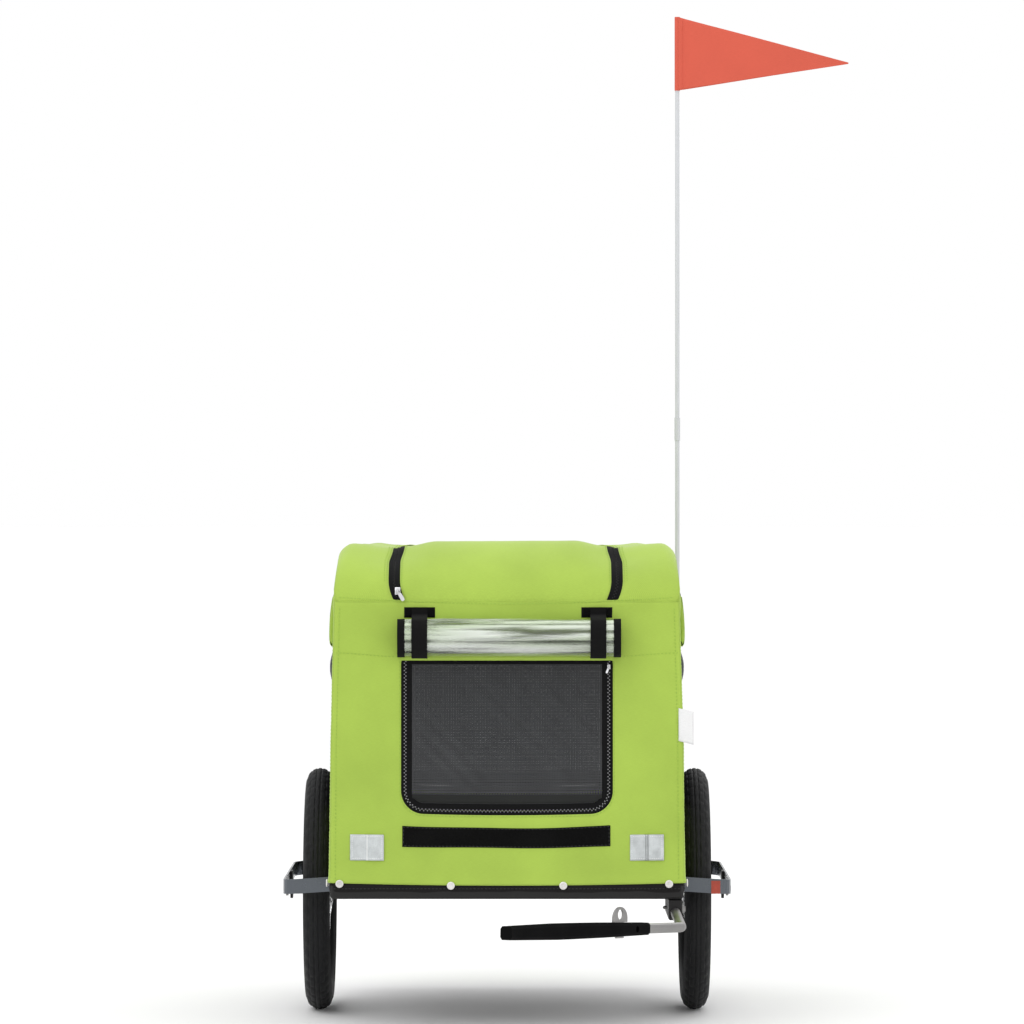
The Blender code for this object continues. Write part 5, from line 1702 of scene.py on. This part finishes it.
def floor_pad(mats):
    """Quilted floor mat: a thin pad that swells between its sewn channels."""
    low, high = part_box("floor_mat")
    cell, gap = 0.0098, 0.002
    xs = lines(low.x + gap, high.x - gap, cell, PAD_SEAMS_X)
    ys = lines(low.y + gap, high.y - gap, cell, PAD_SEAMS_Y)
    middle = (low.z + high.z) / 2
    made = pad_mesh(xs, ys, middle, (high.z - low.z) / 2 * 0.92)
    ob = made.piece("floor_pad", mats["mat"], "chassis", "floor_mat", ("floor_mat",), 180)

    def held(p):
        return to_seam(p.x, p.y) < 0.004 or inset(p.x, p.y, xs, ys) < 0.003 or p.z < middle

    inflate(ob, held, 4.0, 0.0035)
    more = ob.modifiers.new("Smooth", "SUBSURF")
    more.levels = more.render_levels = 1
    top = high.z - 0.0025
    made = Build()
    for c in PAD_SEAMS_X:
        made.stitches([(c, y, top) for y in even(ys[0] + 0.01, ys[-1] - 0.01)], UP)
    for c in PAD_SEAMS_Y:
        made.stitches([(x, c, top) for x in even(xs[0] + 0.01, xs[-1] - 0.01)], UP)
    made.piece("floor_pad_stitching", mats["black_thread"], "chassis", "floor_mat", smooth=60)
    x0, x1, y0, y1 = xs[0] + 0.001, xs[-1] - 0.001, ys[0] + 0.001, ys[-1] - 0.001
    corners = ((x0, y0), (x1, y0), (x1, y1), (x0, y1))
    loop = []
    for one, two in zip(corners, corners[1:] + corners[:1]):
        loop += [(x, y, middle) for x, y in between_spots(one, two, 24)]
    made = Build()
    made.tube(loop, 0.0032, 8, closed=True, up=UP)
    made.piece("floor_pad_binding", mats["webbing"], "chassis", "floor_mat", smooth=60)


# ---- wheels ---------------------------------------------------------------------------


TYRE_AROUND = 288
TYRE_WALL = 0.0045
TREAD_BLOCK = 6


def tread(k, phi):
    """How far the tyre's surface stands above its section at a step round it and an angle across it."""
    a = abs(phi)
    if a < 9:
        return 0.0 if (k % TREAD_BLOCK) or a < 5 else -0.0008
    if a < 13:
        return -0.0013
    if a < 33:
        shift = 2 if phi > 0 else 5
        return -0.0013 if (k + shift) % TREAD_BLOCK == 0 else 0.0
    if a < 37:
        return -0.0012
    if a < 60:
        shift = 0 if phi > 0 else 3
        return -0.0012 if (k + shift) % TREAD_BLOCK in (0, 1) else -0.0001
    if a < 64:
        return -0.0012
    if 78 < a < 82 or 100 < a < 103:
        return -0.0002
    return -0.0009 - 0.0002 * ease(a, 100, 140)


def tyre(side, name, mats):
    """Tyre with its tread outside and a plain inner wall."""
    angles = [-142 + 284 * k / 56 for k in range(57)]
    made = Build()

    def spot(r, phi, turn):
        a = math.radians(phi)
        out = TYRE_RING + r * math.cos(a)
        x = side * WHEEL_X + r * math.sin(a)
        place = (x, out * math.sin(turn), WHEEL_Z + out * math.cos(turn))
        return made.vert(place, a * r, turn * out)

    rings = []
    for k in range(TYRE_AROUND):
        turn = 2 * math.pi * k / TYRE_AROUND
        ring = [spot(TYRE_SECTION + tread(k, phi), phi, turn) for phi in angles]
        ring += [spot(TYRE_SECTION - TYRE_WALL, phi, turn) for phi in (132, 60, 0, -60, -132)]
        rings.append(ring)
    made.loft(rings, closed=True)
    made.piece(f"wheel_{name}_tyre", mats["tyre"], f"wheel_{name}", "tyre", (f"tyre_{name}",), 26)


# Turned sections, (along the axle, radius).
RIM_SECTION = (
    (-0.0124, 0.1588), (-0.0112, 0.1596), (-0.0104, 0.1588), (-0.0104, 0.1530), (-0.0060, 0.1492),
    (0.0, 0.1482), (0.0060, 0.1492), (0.0104, 0.1530), (0.0104, 0.1588), (0.0112, 0.1596),
    (0.0124, 0.1588), (0.0120, 0.1500), (0.0098, 0.1448), (0.0050, 0.1422), (0.0, 0.1416),
    (-0.0050, 0.1422), (-0.0098, 0.1448), (-0.0120, 0.1500),
)
HUB_SECTION = (
    (-0.0320, 0.0066), (-0.0320, 0.0090), (-0.0290, 0.0094), (-0.0235, 0.0112), (-0.0195, 0.0125),
    (-0.0192, 0.0238), (-0.0184, 0.0244), (-0.0168, 0.0244), (-0.0160, 0.0238), (-0.0156, 0.0140),
    (-0.0120, 0.0128), (0.0120, 0.0128), (0.0156, 0.0140), (0.0160, 0.0238), (0.0168, 0.0244),
    (0.0184, 0.0244), (0.0192, 0.0238), (0.0195, 0.0125), (0.0235, 0.0112), (0.0290, 0.0094),
    (0.0445, 0.0090), (0.0445, 0.0066),
)
VALVE = (
    (-0.004, 0.0040), (0.0, 0.0040), (0.0005, 0.0031), (0.016, 0.0029), (0.0165, 0.0041),
    (0.026, 0.0041), (0.0275, 0.0034),
)
FLANGE_X = 0.0176
FLANGE_SPOKES = 14


def rim_and_spokes(side, name, mats):
    """The wheel's steel rim, hub, laced spokes with their nipples, and the valve."""
    body = f"wheel_{name}"
    centre = Vector((side * WHEEL_X, 0, WHEEL_Z))
    hub = [(along * side, radius) for along, radius in HUB_SECTION]
    made = Build()
    made.turned(RIM_SECTION, centre, (1, 0, 0), 120, closed=True)
    made.piece(f"{body}_rim", mats["rim"], body, "rim_steel", (f"rim_{name}",), 40)
    made = Build()
    made.turned(hub, centre, (1, 0, 0), 40, closed=True)
    made.piece(f"{body}_hub", mats["rim"], body, "rim_steel", (f"hub_{name}",), 35)
    spokes, nipples = Build(), Build()
    for flange in (-1, 1):
        for k in range(FLANGE_SPOKES):
            spoke(spokes, nipples, centre, flange, k)
    spokes.piece(f"{body}_spokes", mats["spoke"], body, "rim_steel", smooth=60)
    nipples.piece(f"{body}_nipples", mats["bright"], body, "rim_steel", smooth=40)
    at = math.radians(96)
    way = Vector((0, -math.sin(at), -math.cos(at)))
    made = Build()
    made.turned(VALVE, centre - way * 0.1425, way, 18)
    made.piece(f"{body}_valve", mats["plastic"], body, "black_plastic", smooth=35)


def spoke(spokes, nipples, centre, flange, k):
    """A spoke from a hub flange (-1 or +1) to the rim; every second one leans the other way."""
    lead = 1 if k % 2 else -1
    pitch = 2 * math.pi / FLANGE_SPOKES
    hub_at = pitch * k + (pitch / 2 if flange > 0 else 0.0)
    rim_at = hub_at + lead * 2 * pitch

    def spot(x, r, angle):
        return centre + Vector((x, r * math.sin(angle), r * math.cos(angle)))

    foot = spot(flange * (FLANGE_X - 0.0016 * lead), 0.0212, hub_at)
    bend = spot(flange * (FLANGE_X + 0.0012 * lead + 0.0004), 0.0216, hub_at + lead * 0.03)
    end = spot(flange * 0.0022, 0.1420, rim_at)
    start = bend.lerp(end, 0.02) + Vector((flange * lead * 0.0010, 0, 0))
    spokes.tube([foot, bend, start, end], 0.00100, 6)
    way = (end - start).normalized()
    path = [end + way * along for along in (-0.0075, -0.0070, -0.0002, 0.0006)]
    nipples.tube(path, [0.0012, 0.0019, 0.0020, 0.0026], 8)


# ---- flag -----------------------------------------------------------------------------


POLE_STEP_Z = 0.72
FERRULE_Z = (0.700, 0.740)
FLAG_TIP_Z = 1.357


def pole_and_flag(mats):
    low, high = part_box("flag_pole")
    radius = (high.x - low.x) / 2
    centre = (low + high) / 2
    pole(mats, centre.x, centre.y, low.z, high.z, radius)
    flag(mats, centre.x, centre.y, radius + 0.0007)


def pole(mats, x, y, low, high, radius):
    """Thin rod with a ferrule where its two halves join."""
    thin = radius * 0.985
    rod = (
        (low, radius * 0.90), (low + 0.001, radius), (POLE_STEP_Z, radius),
        (POLE_STEP_Z + 0.0005, thin), (high - 0.002, thin), (high, radius * 0.6),
    )
    made = Build()
    made.turned(rod, (x, y, 0), UP, 28)
    made.piece("pole_rod", mats["pole"], "flag_pole", "white_glassfibre", ("flag_pole",), 40)
    bottom, top = FERRULE_Z
    sleeve = (
        (bottom, radius * 1.02), (bottom + 0.0005, radius * 1.26), (top, radius * 1.26),
        (top + 0.0005, radius * 1.02),
    )
    made = Build()
    made.turned(sleeve, (x, y, 0), UP, 28)
    made.piece("pole_ferrule", mats["pole"], "flag_pole", "white_glassfibre", smooth=40)


def flag(mats, x, y, sleeve):
    """Pennant with a sewn sleeve round the pole; sleeve is its radius."""
    low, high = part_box("flag")
    root = x + sleeve * 0.2
    made = Build()
    rows = []
    for i in range(76):
        out = i / 75
        z_high = high.z + (FLAG_TIP_Z + 0.0012 - high.z) * out
        z_low = low.z + (FLAG_TIP_Z - 0.0012 - low.z) * out
        px = root + (high.x - root) * out
        held = sleeve * (1 - ease(out, 0.0, 0.04))
        row = []
        for k in range(33):
            z = z_low + (z_high - z_low) * k / 32
            wave = 0.0034 * math.sin(px * 21 + z * 6) * ease(out, 0.02, 0.3)
            wave += noise.noise(Vector((px * 14, z * 14, 0.3))) * 0.0016 * ease(out, 0.02, 0.15)
            row.append(made.vert((px, y - held + wave, z), px, z))
        rows.append(row)
    made.sheet(rows)
    cloth = made.piece("flag_cloth", mats["flag"], "flag_pole", "flag_fabric", ("flag",), 180, False)
    thicken(cloth, 0.0005, 0.0)
    width, height = high.x - x, high.z - low.z
    made = Build()
    made.tube([(x, y, z) for z in even(low.z, high.z, height / 24)], sleeve, 20, up=(1, 0, 0))
    tube = made.piece("flag_sleeve", mats["flag"], "flag_pole", "flag_fabric", smooth=60)
    made = Build()
    for out in (-1, 1):
        at = y - 0.0012 + 0.0009 * out
        row = [(x + 0.0095, at, z) for z in even(low.z + 0.004, high.z - 0.004)]
        made.stitches(row, (0, out, 0), 0.0034, 0.0024, 0.0002)
    made.piece("flag_stitching", mats["flag"], "flag_pole", "flag_fabric", smooth=60)


# ---- carried-over CAD nodes -----------------------------------------------------------


CAD_FINISH = {
    "powder": (
        "axle_beam", "axle_bracket_left", "axle_bracket_right", "base_crossbar_front",
        "base_crossbar_rear", "base_rail_left", "base_rail_right", "drawbar_receiver",
        "front_hoop", "rear_hoop", "roof_bar_left", "roof_bar_right",
    ),
    "plastic": (
        "axle_button_left", "axle_button_right", "hoop_socket_front_left",
        "hoop_socket_front_right", "hoop_socket_rear_left", "hoop_socket_rear_right",
        "flag_socket",
    ),
    "zinc": ("axle_pin_left", "axle_pin_right", "drawbar_lock_pin", "drawbar_tube", "hitch_eye_plate"),
    "guard": ("wheel_guard_left", "wheel_guard_right"),
    "arm": ("drawbar_arm",),
    "red": ("guard_reflector",),
    "board": ("floor_board",),
}
SOFT_EDGES = (
    "drawbar_arm", "hitch_eye_plate", "wheel_guard_left", "wheel_guard_right", "drawbar_receiver",
    "floor_board",
)


def finish_cad(mats):
    """Materials and softer edges for the CAD nodes that stay as they are."""
    for key, names in CAD_FINISH.items():
        for name in names:
            mesh = frame["nodes"][name].data
            mesh.materials.clear()
            mesh.materials.append(mats[key])
    for name in SOFT_EDGES:
        made = frame["nodes"][name].modifiers.new("Edges", "BEVEL")
        made.width = 0.0005
        made.segments = 2
        made.limit_method = "ANGLE"
        made.angle_limit = math.radians(50)


# ---- room -----------------------------------------------------------------------------


def stage_floor():
    """A wide pale floor under the tyres."""
    mat = material("room_floor", (0.88, 0.88, 0.88), 0.85, Specular_IOR_Level=0.1)
    coords = place_of(mat)
    shade = blend_colour(mat, cloud(mat, coords, 2.0), (0.87, 0.87, 0.87), (0.89, 0.89, 0.89))
    feed(mat, Base_Color=shade, Normal=bump(mat, cloud(mat, coords, 300.0), 0.00002))
    mesh = bpy.data.meshes.new("room_floor")
    corners = [(x * 300.0, y * 300.0, GROUND) for x, y in ((-1, -1), (1, -1), (1, 1), (-1, 1))]
    mesh.from_pydata(corners, [], [(0, 1, 2, 3)])
    floor = bpy.data.objects.new("room_floor", mesh)
    bpy.context.scene.collection.objects.link(floor)
    mesh.materials.append(mat)


def area_light(name, at, towards, size, power):
    data = bpy.data.lights.new(name, "AREA")
    data.shape = "RECTANGLE"
    data.size, data.size_y = size
    data.energy = power
    light = bpy.data.objects.new(name, data)
    light.location = at
    light.rotation_euler = (Vector(towards) - Vector(at)).to_track_quat("-Z", "Y").to_euler()
    bpy.context.scene.collection.objects.link(light)


def room():
    stage_floor()
    world = bpy.data.worlds.new("room")
    world.use_nodes = True
    back = world.node_tree.nodes["Background"]
    back.inputs["Color"].default_value = (1.0, 1.0, 1.0, 1.0)
    back.inputs["Strength"].default_value = 1.0
    bpy.context.scene.world = world
    bpy.context.scene.view_settings.view_transform = "Standard"
    area_light("key", (-2.6, -4.2, 3.6), (0, 0, 0.3), (2.4, 1.8), 34)
    area_light("fill", (3.2, -3.4, 2.2), (0, 0, 0.3), (2.2, 2.2), 16)
    area_light("top", (0.0, 0.6, 4.0), (0, 0, 0.2), (3.0, 3.0), 12)
    area_light("back", (1.6, 4.0, 2.6), (0, 0, 0.3), (2.4, 2.0), 20)
    sky = bpy.data.lights.new("sky", "SUN")
    sky.energy = 0.5
    sky.angle = math.radians(60)
    light = bpy.data.objects.new("sky", sky)
    light.rotation_euler = (math.radians(12), math.radians(-10), 0)
    bpy.context.scene.collection.objects.link(light)


def camera():
    data = bpy.data.cameras.new("camera")
    data.sensor_width = 36.0
    data.lens = CAMERA_LENS
    data.clip_end = 1000.0
    made = bpy.data.objects.new("camera", data)
    made.location = CAMERA_AT
    made.rotation_euler = (math.pi / 2, 0, 0)
    bpy.context.scene.collection.objects.link(made)
    bpy.context.scene.camera = made


def main():
    camera()
    room()
    mats = make_materials()
    finish_cad(mats)
    end_panels(mats)
    side_panels(mats)
    roof_panel(mats)
    door(mats, "front_door", FRONT, DOOR, ("front_door",))
    door(mats, "rear_door", REAR, REAR_DOOR, ("rear_door",))
    seams(mats)
    stitching(mats)
    hook_strip(mats)
    reflectors(mats)
    studs(mats)
    side_tag(mats)
    rain_roll(mats)
    roll_straps(mats)
    zip_sliders(mats)
    base_skirt(mats)
    hardware(mats)
    floor_pad(mats)
    for side, name in ((1, "left"), (-1, "right")):
        tyre(side, name, mats)
        rim_and_spokes(side, name, mats)
    pole_and_flag(mats)


main()
